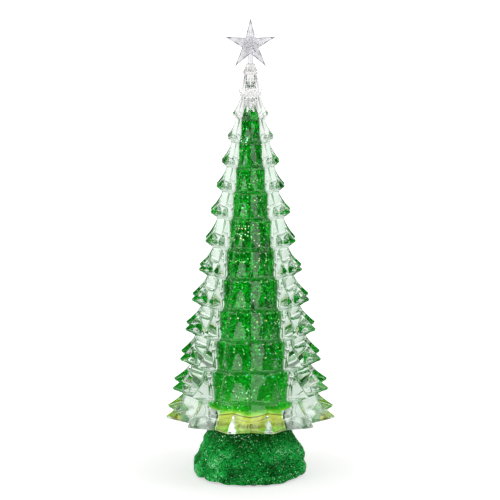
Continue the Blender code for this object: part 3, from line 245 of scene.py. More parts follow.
class RockSettings(bpy.types.PropertyGroup):
    relief: FloatProperty(
        name="Relief", description="Height of the rock's cobbles", default=0.0019, unit="LENGTH")
    grit: FloatProperty(
        name="Grit", description="Unevenness of the glitter coat", default=0.00022, unit="LENGTH")
    wall: FloatProperty(
        name="Wall", description="Thickness of the shell", default=0.0026, unit="LENGTH")
    columns: IntProperty(
        name="Columns", description="Faces around the rock", default=460, min=60, max=480)
    flakes: IntProperty(
        name="Flakes", description="Loose glitter flakes on the rock", default=5200, min=0)
    flake_size: FloatProperty(
        name="Flake size", description="Across the corners of a flake", default=0.0009, unit="LENGTH")
    colour: FloatVectorProperty(
        name="Glitter green", description="Foil of the coat", default=linear("#0cb844"), size=3,
        subtype="COLOR")
    # Dark glue colour between the flakes, also used for the painted shade towards the neck and in the
    # clefts
    shade: FloatVectorProperty(
        name="Glue green", description="Painted rock between the flakes", default=linear("#004c10"),
        size=3, subtype="COLOR")


class StageSettings(bpy.types.PropertyGroup):
    ambient: FloatProperty(name="Ambient", description="Light from all sides", default=0.68)
    key: FloatProperty(name="Softbox", description="Radiance of the large softbox", default=2.2)
    key_height: FloatProperty(
        name="Softbox height", description="From the floor up", default=1.36, unit="LENGTH")
    key_width: FloatProperty(name="Softbox width", description="Across", default=1.6, unit="LENGTH")
    ceiling: FloatProperty(
        name="Ceiling", description="Ceiling as clear mouldings show it", default=0.32)
    ceiling_start: FloatProperty(
        name="Ceiling start", description="Rise of a ray at which the backdrop starts to darken",
        default=0.6)
    ceiling_end: FloatProperty(
        name="Ceiling end", description="Rise of a ray at which the ceiling is reached", default=0.9)
    backdrop: FloatProperty(
        name="Backdrop", description="Backdrop as clear mouldings show it", default=0.9)
    flag: FloatProperty(
        name="Side flags", description="Dark boards left and right, as clear mouldings show them",
        default=0.5)
    flag_start: FloatProperty(
        name="Flag start", description="Sideways share of a ray at which the flags begin", default=0.6)
    flag_end: FloatProperty(
        name="Flag end", description="Sideways share at which they are full", default=0.8)
    fill: FloatProperty(
        name="Fill", description="Radiance of the fill lamp, of the softbox's", default=1.1)
    through: FloatProperty(
        name="Floor through glass", description="Share of the floor's lift that clear mouldings show",
        default=0.62)
    lift: FloatProperty(
        name="Floor lift", description="Light that the eye sees added to the floor", default=0.56)
    mirrored: FloatProperty(
        name="Mirrored room", description="Room as glossy surfaces show it", default=0.032)
    mirrored_ceiling: FloatProperty(
        name="Mirrored ceiling", description="Ceiling as glossy surfaces show it", default=0.1)
    floor: FloatVectorProperty(
        name="Floor", description="Colour of floor and backdrop", default=linear("#c4c4c4"), size=3,
        subtype="COLOR")


def new_material(name, colour):
    """An empty material, and the colour that Solid view shows."""
    material = bpy.data.materials.new(name)
    material.use_nodes = True
    material.node_tree.nodes.clear()
    material.diffuse_color = (*colour, 1.0)
    return material


def add_node(material, kind, inputs=None, **settings):
    """Adds a node with its settings. An input is a value, a node to link from, or one of its sockets."""
    node = material.node_tree.nodes.new("ShaderNode" + kind)
    for setting, value in settings.items():
        setattr(node, setting, value)
    for key, value in (inputs or {}).items():
        if isinstance(value, bpy.types.Node):
            value = next(socket for socket in value.outputs if socket.enabled)
        if isinstance(value, bpy.types.NodeSocket):
            material.node_tree.links.new(value, node.inputs[key])
        else:
            node.inputs[key].default_value = value
    return node


def set_ramp(node, stops):
    """Puts stops on a ramp: places, each with an sRGB hex value, a linear colour or a level of grey."""
    elements = node.color_ramp.elements
    while len(elements) > len(stops):
        elements.remove(elements[-1])
    while len(elements) < len(stops):
        elements.new(1.0)
    for element, (place, colour) in zip(elements, stops):
        element.position = place
        if isinstance(colour, str):
            colour = linear(colour)
        elif isinstance(colour, float):
            colour = (colour,) * 3
        element.color = (*colour, 1.0)
    return node


def polished_acrylic(name, tint, edge, crown, crown_edge, haze, clear_until=0.42):
    """Clear PMMA, moulded and polished: hard gloss, a faint haze, a colour that deepens at its edges,
    partly from the longer path through it and partly as painted shade.
    """
    material = new_material(name, tint)
    # Towards grazing view the colour darkens: partly the longer path through the acrylic, partly painted
    # shade for its dark edges
    view = add_node(material, "LayerWeight", {"Blend": 0.5}).outputs["Facing"]
    along = set_ramp(add_node(material, "ValToRGB", {"Fac": view}), (
        (0.0, 0.0), (clear_until, 0.0), (1.0, 1.0)))
    # Green light from the filling tints the mass, less in the tiers above it
    place = add_node(material, "TexCoord").outputs["Object"]
    split = add_node(material, "SeparateXYZ", {"Vector": place})
    height = add_node(material, "MapRange", {
        "Value": split.outputs["Z"], "From Min": LIQUID_HIGH.z - CROWN_FADE_BELOW,
        "From Max": LIQUID_HIGH.z + CROWN_FADE_ABOVE})
    mass = add_node(material, "Mix", {
        "Factor": height, "A": (*tint, 1.0), "B": (*crown, 1.0)}, data_type="RGBA")
    rim = add_node(material, "Mix", {
        "Factor": height, "A": (*edge, 1.0), "B": (*crown_edge, 1.0)}, data_type="RGBA")
    colour = add_node(material, "Mix", {"Factor": along, "A": mass, "B": rim}, data_type="RGBA")
    shader = add_node(material, "BsdfPrincipled", {
        "Base Color": colour, "Roughness": haze, "IOR": ACRYLIC_INDEX, "Specular IOR Level": 0.32,
        "Transmission Weight": 1.0})
    add_node(material, "OutputMaterial", {"Surface": shader})
    return material


def wetted_acrylic(tint):
    """The same moulding where water touches it, which bends light by the ratio of their indices."""
    material = new_material("wetted_acrylic", tint)
    view = add_node(material, "LayerWeight", {"Blend": 0.5}).outputs["Facing"]
    # At grazing view it greys: partly the longer path, partly painted shade, as on the dry moulding
    colour = set_ramp(add_node(material, "ValToRGB", {"Fac": view}), (
        (0.0, tint), (0.8, tint), (1.0, "#d8dcd6")))
    shader = add_node(material, "BsdfPrincipled", {
        "Base Color": colour, "Roughness": 0.0, "IOR": ACRYLIC_INDEX / WATER_INDEX,
        "Transmission Weight": 1.0})
    add_node(material, "OutputMaterial", {"Surface": shader})
    return material


def light_piped_acrylic(tint, glow):
    """The moulding's foot beside the plug, with the lamps' light painted on: a glow and a lime to green
    colour that fade outwards.
    """
    material = new_material("light_piped_acrylic", tint)
    place = add_node(material, "TexCoord").outputs["Object"]
    flat = add_node(material, "Mapping", {"Vector": place, "Scale": (1.0, 1.0, 0.0)})
    reach = add_node(material, "VectorMath", {0: flat}, operation="LENGTH")
    fade = add_node(material, "MapRange", {
        "Value": reach, "From Min": LAMP_GLOW_START, "From Max": LAMP_GLOW_END, "To Min": 0.2,
        "To Max": 0.0})
    # Painted light: the lamps' lime round the plug, then green light from the filling, giving way to
    # clear at the tips
    outward = add_node(material, "MapRange", {
        "Value": reach, "From Min": LAMP_GLOW_START, "From Max": FOOT_GLOW_TINT_END})
    painted_glow_tint = set_ramp(add_node(material, "ValToRGB", {"Fac": outward}), (
        (0.0, "#e4f090"), (0.35, "#8fc66a"), (0.7, "#a9d8a6"), (1.0, tint)))
    # Painted glow: the foot emits the lamps' colour, strongest beside the plug
    shader = add_node(material, "BsdfPrincipled", {
        "Base Color": painted_glow_tint, "Roughness": 0.15, "IOR": ACRYLIC_INDEX, "Transmission Weight": 1.0,
        "Emission Color": (*glow, 1.0), "Emission Strength": fade})
    add_node(material, "OutputMaterial", {"Surface": shader})
    return material


def dyed_glitter_water(settings):
    """Dyed water full of stirred glitter: deep green speckled with brighter flakes, with painted glints,
    painted lamp light from below and a painted glow.
    """
    material = new_material("dyed_glitter_water", settings.bright)
    place = add_node(material, "TexCoord").outputs["Object"]
    # Flakes drift upwards in streaks about 9 mm wide and 30 mm tall
    stretch = add_node(material, "Mapping", {"Vector": place, "Scale": (1.0, 1.0, 0.3)})
    streak = add_node(material, "TexNoise", {
        "Vector": stretch, "Scale": 110.0, "Detail": 3.0, "Roughness": 0.6})
    # Flakes about 0.7 mm across, drawn at 1.5 mm so that they show, each with its own tone: the flake's
    # colour, and at the bright end painted glints
    cells = add_node(material, "TexVoronoi", {"Vector": place, "Scale": 660.0})
    tone = add_node(material, "SeparateColor", {"Color": cells.outputs["Color"]})
    lift = add_node(material, "MapRange", {
        "Value": streak, "From Min": 0.32, "From Max": 0.66, "To Min": 0.22, "To Max": 1.0})
    level = add_node(material, "Math", {0: tone.outputs["Red"], 1: lift}, operation="MULTIPLY")
    middle = tuple((low * 2 + high) / 3 for low, high in zip(settings.deep, settings.bright))
    speckle = set_ramp(add_node(material, "ValToRGB", {"Fac": level}), (
        (0.0, settings.deep), (0.3, middle), (0.6, settings.bright), (0.88, "#0cbc20"),
        (1.0, "#2ed83a")))
    # Painted lamp light: lime near the plug, fading out higher up
    split = add_node(material, "SeparateXYZ", {"Vector": place})
    rise = add_node(material, "MapRange", {
        "Value": split.outputs["Z"], "From Min": LIQUID_LOW.z, "From Max": LIQUID_LOW.z + LAMP_REACH})
    lamp = set_ramp(add_node(material, "ValToRGB", {"Fac": rise}), (
        (0.0, "#9ce034"), (0.03, "#3ec422"), (0.13, "#12b01c"), (0.5, "#0a8a14"), (1.0, "#005000")))
    share = set_ramp(add_node(material, "ValToRGB", {"Fac": rise}), (
        (0.0, 0.8), (0.05, 0.4), (0.5, 0.3), (1.0, 0.0)))
    colour = add_node(material, "Mix", {"Factor": share, "A": speckle, "B": lamp}, data_type="RGBA")
    # Painted glow: the water emits its own colour at half strength, standing in for lamp light
    shader = add_node(material, "BsdfPrincipled", {
        "Base Color": colour, "Roughness": 0.5, "Specular IOR Level": 0.0, "Emission Color": colour,
        "Emission Strength": 0.5})
    add_node(material, "OutputMaterial", {"Surface": shader})
    return material


def glitter_foil(name, stops, glow, roughness):
    """Cut polyester foil, metallised and lacquered: each flake mirrors its own way in its own tone, and
    glows in it as painted light.
    """
    material = new_material(name, linear(stops[1][1]))
    tone = add_node(material, "Attribute", attribute_name="tone")
    colour = set_ramp(add_node(material, "ValToRGB", {"Fac": tone.outputs["Fac"]}), stops)
    # Painted light: each flake emits its tone, standing in for the lamp light it catches
    shader = add_node(material, "BsdfPrincipled", {
        "Base Color": colour, "Metallic": 0.8, "Roughness": roughness, "Emission Color": colour,
        "Emission Strength": glow})
    add_node(material, "OutputMaterial", {"Surface": shader})
    return material


def glitter_coat(settings):
    """Resin painted green and strewn with foil while wet: every flake tilts its own way and glints. Its
    colour has shade painted in towards the neck and in the clefts, light on the crests, and painted
    glints.
    """
    material = new_material("glitter_coat", settings.colour)
    place = add_node(material, "TexCoord").outputs["Object"]
    # A cell 1 mm across stands for each flake
    cells = add_node(material, "TexVoronoi", {"Vector": place, "Scale": 1000.0})
    split = add_node(material, "SeparateColor", {"Color": cells.outputs["Color"]})
    blotch = add_node(material, "TexNoise", {"Vector": place, "Scale": 70.0, "Detail": 2.0})
    up = add_node(material, "SeparateXYZ", {"Vector": place})
    # Painted shade: the coat darkens towards the neck, where the tree's shadow falls, and in the clefts,
    # and lightens on the crests
    neck_shade = add_node(material, "MapRange", {
        "Value": up.outputs["Z"], "From Min": NECK_SHADE_FROM, "From Max": NECK_SHADE_TO, "To Min": 1.0,
        "To Max": 0.12})
    rise = add_node(material, "Attribute", attribute_name="rise")
    cleft_shade_and_crest_light = add_node(material, "MapRange", {
        "Value": rise.outputs["Fac"], "From Min": 0.05, "From Max": 0.7, "To Min": 0.7, "To Max": 1.3})
    painted_shading = add_node(material, "Math", {0: neck_shade, 1: cleft_shade_and_crest_light}, operation="MULTIPLY")
    foil_and_shade = add_node(material, "Math", {0: blotch, 1: painted_shading}, operation="MULTIPLY")
    level = add_node(material, "Math", {0: split.outputs["Red"], 1: foil_and_shade}, operation="MULTIPLY")
    # From glue green to foil green; the palest stop paints glints
    colour = set_ramp(add_node(material, "ValToRGB", {"Fac": level}), (
        (0.0, settings.shade), (0.1, settings.shade), (0.34, settings.colour), (0.56, "#26d05c"),
        (0.7, "#a8f4b8")))
    surface = add_node(material, "NewGeometry")
    tilt = add_node(material, "VectorMath", {
        0: cells.outputs["Color"], 1: (0.5, 0.5, 0.5)}, operation="SUBTRACT")
    lean = add_node(material, "VectorMath", {0: tilt, 1: (0.9, 0.9, 0.9)}, operation="MULTIPLY")
    facing = add_node(material, "VectorMath", {0: surface.outputs["Normal"], 1: lean}, operation="ADD")
    normal = add_node(material, "VectorMath", {0: facing}, operation="NORMALIZE")
    shader = add_node(material, "BsdfPrincipled", {
        "Base Color": colour, "Roughness": 0.5, "Specular IOR Level": 0.12, "Normal": normal})
    add_node(material, "OutputMaterial", {"Surface": shader})
    return material


def lit_acrylic(settings):
    """Clear plug with the light of the lamps under it painted on as colour and glow: green beside the
    liquid, then lime and warm yellow.
    """
    material = new_material("lit_acrylic", settings.glow)
    place = add_node(material, "TexCoord").outputs["Object"]
    split = add_node(material, "SeparateXYZ", {"Vector": place})
    rise = add_node(material, "MapRange", {
        "Value": split.outputs["Z"], "From Min": PLUG_BOTTOM, "From Max": LIQUID_LOW.z})
    mottle = add_node(material, "TexNoise", {"Vector": place, "Scale": 160.0})
    shift = add_node(material, "MapRange", {
        "Value": mottle, "From Min": 0.3, "From Max": 0.7, "To Min": -0.18, "To Max": 0.18})
    level = add_node(material, "Math", {0: rise, 1: shift}, operation="ADD")
    colour = set_ramp(add_node(material, "ValToRGB", {"Fac": level}), (
        (0.0, "#dcd04c"), (0.3, "#eaf058"), (0.6, settings.glow), (0.85, "#90dc30"), (1.0, "#3fbf20")))
    # Painted glow: the plug emits its colour at half strength
    shader = add_node(material, "BsdfPrincipled", {
        "Base Color": colour, "Roughness": 0.1, "Emission Color": colour, "Emission Strength": 0.5})
    add_node(material, "OutputMaterial", {"Surface": shader})
    return material


def moulded(name, colour, roughness, grain, depth, glow=0.0):
    """Moulded plastic, rubber or vinyl: one colour, mottled a little, with its mould's fine grain."""
    material = new_material(name, colour)
    place = add_node(material, "TexCoord").outputs["Object"]
    spread = add_node(material, "TexNoise", {"Vector": place, "Scale": 80.0, "Detail": 2.0})
    light = tuple(min(1.0, channel * 1.12 + 0.004) for channel in colour)
    dark = tuple(channel * 0.86 for channel in colour)
    tone = set_ramp(add_node(material, "ValToRGB", {"Fac": spread}), ((0.35, dark), (0.65, light)))
    pores = add_node(material, "TexNoise", {"Vector": place, "Scale": 1 / grain, "Detail": 2.0})
    bump = add_node(material, "Bump", {"Height": pores, "Strength": 0.5, "Distance": depth})
    shader = add_node(material, "BsdfPrincipled", {
        "Base Color": tone, "Roughness": roughness, "Normal": bump, "Emission Color": tone,
        "Emission Strength": glow})
    add_node(material, "OutputMaterial", {"Surface": shader})
    return material


def plated(name, colour, roughness):
    """Plated or bare steel: metallic, with fine handling marks that break up its gloss."""
    material = new_material(name, colour)
    place = add_node(material, "TexCoord").outputs["Object"]
    marks = add_node(material, "TexNoise", {
        "Vector": place, "Scale": 700.0, "Detail": 4.0, "Roughness": 0.7})
    gloss = add_node(material, "MapRange", {
        "Value": marks, "From Min": 0.3, "From Max": 0.7, "To Min": roughness * 0.7,
        "To Max": roughness * 1.5})
    tone = set_ramp(add_node(material, "ValToRGB", {"Fac": marks}), (
        (0.3, tuple(channel * 0.85 for channel in colour)), (0.7, colour)))
    shader = add_node(material, "BsdfPrincipled", {
        "Base Color": tone, "Metallic": 1.0, "Roughness": gloss})
    add_node(material, "OutputMaterial", {"Surface": shader})
    return material


def masked_board(name, mask, trace):
    """Glass-epoxy circuit board under solder mask: copper tracks 0.8 mm wide show as paler lines."""
    material = new_material(name, mask)
    place = add_node(material, "TexCoord").outputs["Object"]
    tracks = add_node(material, "TexBrick", {
        "Vector": place, "Color1": (*mask, 1.0), "Color2": (*mask, 1.0), "Mortar": (*trace, 1.0),
        "Scale": 160.0, "Mortar Size": 0.03, "Brick Width": 0.9, "Row Height": 0.35})
    bump = add_node(material, "Bump", {
        "Height": tracks.outputs["Fac"], "Strength": 0.3, "Distance": 0.00005})
    shader = add_node(material, "BsdfPrincipled", {
        "Base Color": tracks, "Roughness": 0.3, "Normal": bump})
    add_node(material, "OutputMaterial", {"Surface": shader})
    return material


def dress(material, *names):
    """Gives CAD pieces that stay as they are their material."""
    for name in names:
        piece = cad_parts[name]
        piece.data.materials.clear()
        piece.data.materials.append(material)


def put_mesh(name, points, faces, materials, body="lantern"):
    """Makes a piece from an array of points and lists of corners, and lets it ride on its body."""
    mesh = bpy.data.meshes.new(name)
    mesh.from_pydata(points.reshape(-1, 3).tolist(), [], faces)
    piece = bpy.data.objects.new(name, mesh)
    bpy.context.scene.collection.objects.link(piece)
    for material in materials:
        mesh.materials.append(material)
    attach(piece, body)
    return piece


def grid_faces(rows, columns):
    """Corners of the quads of a grid that closes around its columns, row by row."""
    row, column = np.meshgrid(np.arange(rows - 1), np.arange(columns), indexing="ij")
    following = (column + 1) % columns
    corners = np.stack([
        row * columns + column, (row + 1) * columns + column, (row + 1) * columns + following,
        row * columns + following], axis=-1)
    return corners.reshape(-1, 4).tolist()


def close_surface(piece, merge=True):
    """Turns a closed surface outwards, and first merges its rows that lie on the axis."""
    shape = bmesh.new()
    shape.from_mesh(piece.data)
    if merge:
        bmesh.ops.remove_doubles(shape, verts=shape.verts, dist=MERGE_DISTANCE)
    bmesh.ops.recalc_face_normals(shape, faces=shape.faces)
    shape.to_mesh(piece.data)
    shape.free()
    piece.data.update()


def even_angles(columns):
    """Angles of columns that stand evenly all round."""
    return np.arange(columns) * 2 * math.pi / columns


def turned(radius, height, angle):
    """A profile turned about Z: rows of (r cos a, r sin a, z)."""
    radius, height = np.asarray(radius)[:, None], np.asarray(height)[:, None]
    return np.stack([radius * np.cos(angle), radius * np.sin(angle), height + 0 * angle], axis=-1)


def from_front(bearing, radius, height):
    """Points about Z at bearings that start at the front, -Y, and run to the right."""
    parts = radius * np.sin(bearing), -radius * np.cos(bearing), height
    return np.stack(np.broadcast_arrays(*parts), axis=-1)


def hold_radius(points, low=0.0, high=math.inf):
    """Moves points straight in or out, so that they stand between two distances from Z."""
    reach = np.hypot(points[..., 0], points[..., 1])
    points[..., :2] *= (np.clip(reach, low, high) / reach)[..., None]


def scatter_flakes(name, centres, normals, sizes, tones, material):
    """Six-sided flakes: corners c + s (cos p u + sin p v), with u and v square to each normal."""
    numbers = np.random.default_rng(len(centres))
    normals = normals / np.linalg.norm(normals, axis=1, keepdims=True)
    helper = np.where(np.abs(normals[:, 2:]) < 0.9, np.array([[0.0, 0, 1]]), np.array([[1.0, 0, 0]]))
    across = np.cross(helper, normals)
    across /= np.linalg.norm(across, axis=1, keepdims=True)
    up = np.cross(normals, across)
    turn = numbers.uniform(0, math.pi / 3, (len(centres), 1, 1)) + np.arange(6)[:, None] * math.pi / 3
    reach = sizes[:, None, None] / 2
    points = centres[:, None] + reach * (np.cos(turn) * across[:, None] + np.sin(turn) * up[:, None])
    faces = np.arange(len(centres) * 6).reshape(-1, 6).tolist()
    piece = put_mesh(name, points, faces, (material,))
    layer = piece.data.attributes.new("tone", "FLOAT", "POINT")
    layer.data.foreach_set("value", np.repeat(tones, 6))
    return piece


def tier_tips(settings):
    """Reach and height of each tier's tips from the top down."""
    widening = settings.tip_radius_low - settings.tip_radius_high
    reach = settings.tip_radius_high + widening * TIER_REACH_SHARES
    height = PLUG_BOTTOM + settings.lowest_tip + settings.tier_span * (1 - TIER_DROP_SHARES)
    return reach, height


def tier_profiles(settings):
    """Ridge and valley outlines, (rows, 2) each, of all tiers from the top down.

    From its waist a tier flares out by r = r0 + (r1 - r0) s^p while it drops evenly. Its rim is a
    quarter round, and its underside runs straight from there in to the next waist.
    """
    reach, height = tier_tips(settings)
    ridge, valley = [], []
    waist = waist_valley = settings.top_radius
    waist_height = height[0] + settings.top_cap_height
    fall = settings.top_cap_height
    # The crown's pleats are shallow and its rims thick, which fades out over its tiers
    shallow = np.clip(1 - np.arange(len(reach)) / CROWN_TIERS, 0, 1)
    waist_low, rim_low = settings.waist_valley_share, settings.rim_valley_share
    waist_shares = waist_low + (CROWN_WAIST_VALLEY - waist_low) * shallow
    rim_shares = rim_low + (CROWN_RIM_VALLEY - rim_low) * shallow
    lip_shares = settings.lip_share * (1 + CROWN_LIP_GAIN * shallow)
    for tier, (radius, tip) in enumerate(zip(reach, height)):
        if tier:
            fall = height[tier - 1] - tip
            waist = reach[tier - 1] * settings.waist_share
            waist_valley = waist * waist_shares[tier]
            above = height[tier - 2] - height[tier - 1] if tier > 1 else settings.top_cap_height
            waist_height = height[tier - 1] - above * settings.underside_drop_share
        out = SKIRT_SHARES ** settings.flare_power
        lip = fall * lip_shares[tier]
        for outline, start, end_radius, end_height in (
            (ridge, waist, radius, tip),
            (valley, waist_valley, radius * rim_shares[tier], tip - fall * settings.valley_drop_share),
        ):
            drop = end_height - waist_height
            outline.append(np.column_stack([
                start + (end_radius - start) * out, waist_height + drop * SKIRT_SHARES]))
            turn = np.linspace(1 / RIM_ROWS, 1, RIM_ROWS) * math.pi / 2
            outline.append(np.column_stack([
                end_radius - lip * settings.lip_reach * (1 - np.cos(turn)),
                end_height - lip * np.sin(turn)]))
    return np.concatenate(ridge), np.concatenate(valley)


def pleated_grid(ridge, valley, settings):
    """Rows of the pleated skirts: nearly straight facets from valley to ridge, rounded where they meet.

    A facet's point is V + t (R - V), with V and R half a pleat apart, swollen by b (R - V) t (1 - t).
    Near its ends the radius gives way by m w / 2 (1 - u / w)^2, whose slope there cancels the facet's
    own, m, so that crest and valley are smooth.
    """
    half = (1 - np.cos(np.linspace(0, math.pi, settings.columns + 1))) / 2
    there_and_back = np.concatenate([half[:-1], half[:0:-1]])
    step = math.pi / settings.pleats
    crest, crease = settings.crest_share, settings.crease_share
    ridge_radius, valley_radius = ridge[:, :1], valley[:, :1]
    run_x = ridge_radius * math.cos(step) - valley_radius
    run_y = ridge_radius * math.sin(step)
    x = valley_radius + run_x * there_and_back
    y = run_y * there_and_back
    radius = np.hypot(x, y)
    bearing = np.arctan2(y, x)
    swell = settings.bulge * (ridge_radius - valley_radius)
    radius = radius + swell * there_and_back * (1 - there_and_back)
    slope_ridge = run_x * math.cos(step) + run_y * math.sin(step) - swell
    slope_valley = run_x + swell
    near_ridge = np.clip(1 - (1 - there_and_back) / crest, 0, 1) ** 2
    near_valley = np.clip(1 - there_and_back / crease, 0, 1) ** 2
    radius = radius - slope_ridge * crest / 2 * near_ridge + slope_valley * crease / 2 * near_valley
    height = valley[:, 1:] + (ridge[:, 1:] - valley[:, 1:]) * there_and_back
    second = np.arange(len(there_and_back)) >= settings.columns
    bearing = np.where(second, 2 * step - bearing, bearing)
    rows = []
    for pleat in range(settings.pleats):
        angle = bearing + pleat * 2 * step
        rows.append(np.stack([radius * np.cos(angle), radius * np.sin(angle), height], axis=-1))
    return np.concatenate(rows, axis=1)


# Rock outline without its relief: height and radius, metres
ROCK_HEIGHTS = np.array((
    0.0008, 0.0018, 0.006, 0.0103, 0.0145, 0.0187, 0.0228, 0.027, 0.0313, 0.0355, 0.0438, 0.052, 0.058,
    0.0617))
ROCK_RADII = np.array((
    0.0545, 0.0556, 0.0562, 0.0566, 0.0556, 0.0542, 0.0522, 0.05, 0.0475, 0.045, 0.0405, 0.0378, 0.0366,
    0.0362))
ROCK_ROWS = 150
# Rounded neck: how far each of its rows lies below the top, and inside the outline
NECK_DROPS, NECK_INSETS = np.array((0.0008, 0.0002, 0)), (0.0002, 0.0009, 0.0018)
# Large swellings: bearing from the front in degrees, height, spread and rise in metres
ROCK_MOUNDS = (
    (22, 0.031, 0.013, 0.0036), (-30, 0.024, 0.012, 0.0028), (-68, 0.04, 0.009, 0.002),
    (60, 0.02, 0.011, 0.0022), (2, 0.043, 0.011, -0.0026), (-8, 0.006, 0.008, 0.002),
    (100, 0.034, 0.012, 0.0026), (145, 0.022, 0.012, 0.0026), (-115, 0.026, 0.013, 0.0028),
    (-160, 0.036, 0.012, 0.0024), (180, 0.012, 0.01, 0.002), (-95, 0.008, 0.009, 0.0016))
# Clefts between the lumps: bearing in degrees, lower and upper end, half width and depth in metres
ROCK_CLEFTS = (
    (-17, -0.004, 0.036, 0.0034, 0.0034), (-54, 0.01, 0.046, 0.003, 0.0026),
    (27, -0.004, 0.018, 0.003, 0.0026), (66, 0.006, 0.042, 0.0034, 0.003),
    (112, -0.004, 0.034, 0.0032, 0.003), (160, 0.006, 0.044, 0.0034, 0.003),
    (-84, -0.004, 0.024, 0.003, 0.0026), (-132, 0.004, 0.04, 0.0034, 0.0032),
    (-168, -0.004, 0.02, 0.003, 0.0024), (4, 0.03, 0.05, 0.005, 0.002),
    (44, 0.024, 0.044, 0.003, 0.0018))
# How a cleft winds: wavelength over 2 pi, and swing as an angle. Its ends run out over the last length.
CLEFT_WAVE, CLEFT_SWAY, CLEFT_END = 0.007, 0.06, 0.006
# Cobbles: how many, their radius in metres, and their share of the relief. Then how deep the gaps
# between them go, and the level that counts as none, as shares of a cobble
ROCK_COBBLES = ((34, 0.0165, 2.2), (120, 0.0085, 0.8), (520, 0.0038, 0.3))
COBBLE_GAP, COBBLE_MIDDLE = -0.6, 0.5
# The relief dies out below the neck, the rock leans to the left, and its lower edge is ragged
NECK_FADE = 0.012
ROCK_LEAN, LEAN_HEIGHT = 0.0012, 0.05
EDGE_RISE, EDGE_FADE, INNER_EDGE_SHARE = 0.0011, 0.012, 0.6
SIZE_MARGIN, THINNEST_WALL = 0.0002, 0.0011
# Inner wall of the rock from the neck down, radius and height, then the ledge and the lower edge
NECK_INSIDE_END = 0.0515
ROCK_INNER_WALL = (
    (0.0352, 0.045), (0.0395, 0.036), (0.0445, 0.024), (0.0475, 0.0115), (0.0475, 0.0098))
LEDGE_WIDTH, LEDGE_TOP, LEDGE_BOTTOM = 0.007, 0.0098, 0.0096
RECESS_END, RECESS_FLARE, INNER_EDGE = 0.0022, 0.0006, 0.0016
# Coat: the relief's span from a cleft to a crest, and heights between which painted shade from the tree
# above darkens it
RELIEF_SPAN = 0.0044
NECK_SHADE_FROM, NECK_SHADE_TO = 0.034, 0.05
FLAKE_STANDOFF, FLAKE_MARGIN = 0.00012, 0.0008
ROCK_FLAKE_SIZES, ROCK_FLAKE_TILT = (0.6, 1.2), 0.28


def frame_radius(node):
    """Half the width of a round CAD piece."""
    low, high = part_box(node)
    return (high[0] - low[0]) / 2


def nearest_seed(points, seeds):
    """Distance from each point to its nearest seed, by |p|^2 + |s|^2 - 2 p.s for all pairs at once."""
    flat = points.reshape(-1, 3)
    squares = (flat ** 2).sum(axis=1)[:, None] + (seeds ** 2).sum(axis=1)[None] - 2 * flat @ seeds.T
    return np.sqrt(np.maximum(squares.min(axis=1), 0)).reshape(points.shape[:-1])


def rock_relief(base, bearing, settings):
    """Outward rise of the rock, without its grit and with it.

    Mounds and clefts are bell curves, and cobbles bulge by 1 - (d / size)^2 around their seeds.
    """
    numbers = np.random.default_rng(3)
    relief = np.zeros(base.shape[:-1])
    for angle, height, spread, rise in ROCK_MOUNDS:
        middle = from_front(math.radians(angle), np.interp(height, ROCK_HEIGHTS, ROCK_RADII), height)
        relief += rise * np.exp(-((base - middle) ** 2).sum(axis=-1) / (2 * spread ** 2))
    for angle, low, high, half_width, depth in ROCK_CLEFTS:
        middle = math.radians(angle) + np.sin(base[..., 2] / CLEFT_WAVE + angle) * CLEFT_SWAY
        away = (bearing - middle + math.pi) % (2 * math.pi) - math.pi
        span = np.interp(base[..., 2], ROCK_HEIGHTS, ROCK_RADII) * away / half_width
        inside = np.minimum(base[..., 2] - low, high - base[..., 2])
        relief -= depth * np.exp(-span ** 2) * np.clip(inside / CLEFT_END, 0, 1)
    for count, size, share in ROCK_COBBLES:
        height = numbers.uniform(0, SHELL_HIGH.z, count)
        angle = numbers.uniform(0, 2 * math.pi, count)
        radius = np.interp(height, ROCK_HEIGHTS, ROCK_RADII)
        near = nearest_seed(base, from_front(angle, radius, height)) / size
        relief += settings.relief * share * (np.clip(1 - near ** 2, COBBLE_GAP, 1) - COBBLE_MIDDLE)
    return relief, relief + numbers.normal(0, settings.grit, relief.shape)


def hollow_radius(share, liquid):
    """Radius of the hollow at a share of the way down from the liquid's surface: r0 + (r1 - r0) s^p."""
    return liquid.top_radius + (liquid.bottom_radius - liquid.top_radius) * share ** liquid.power


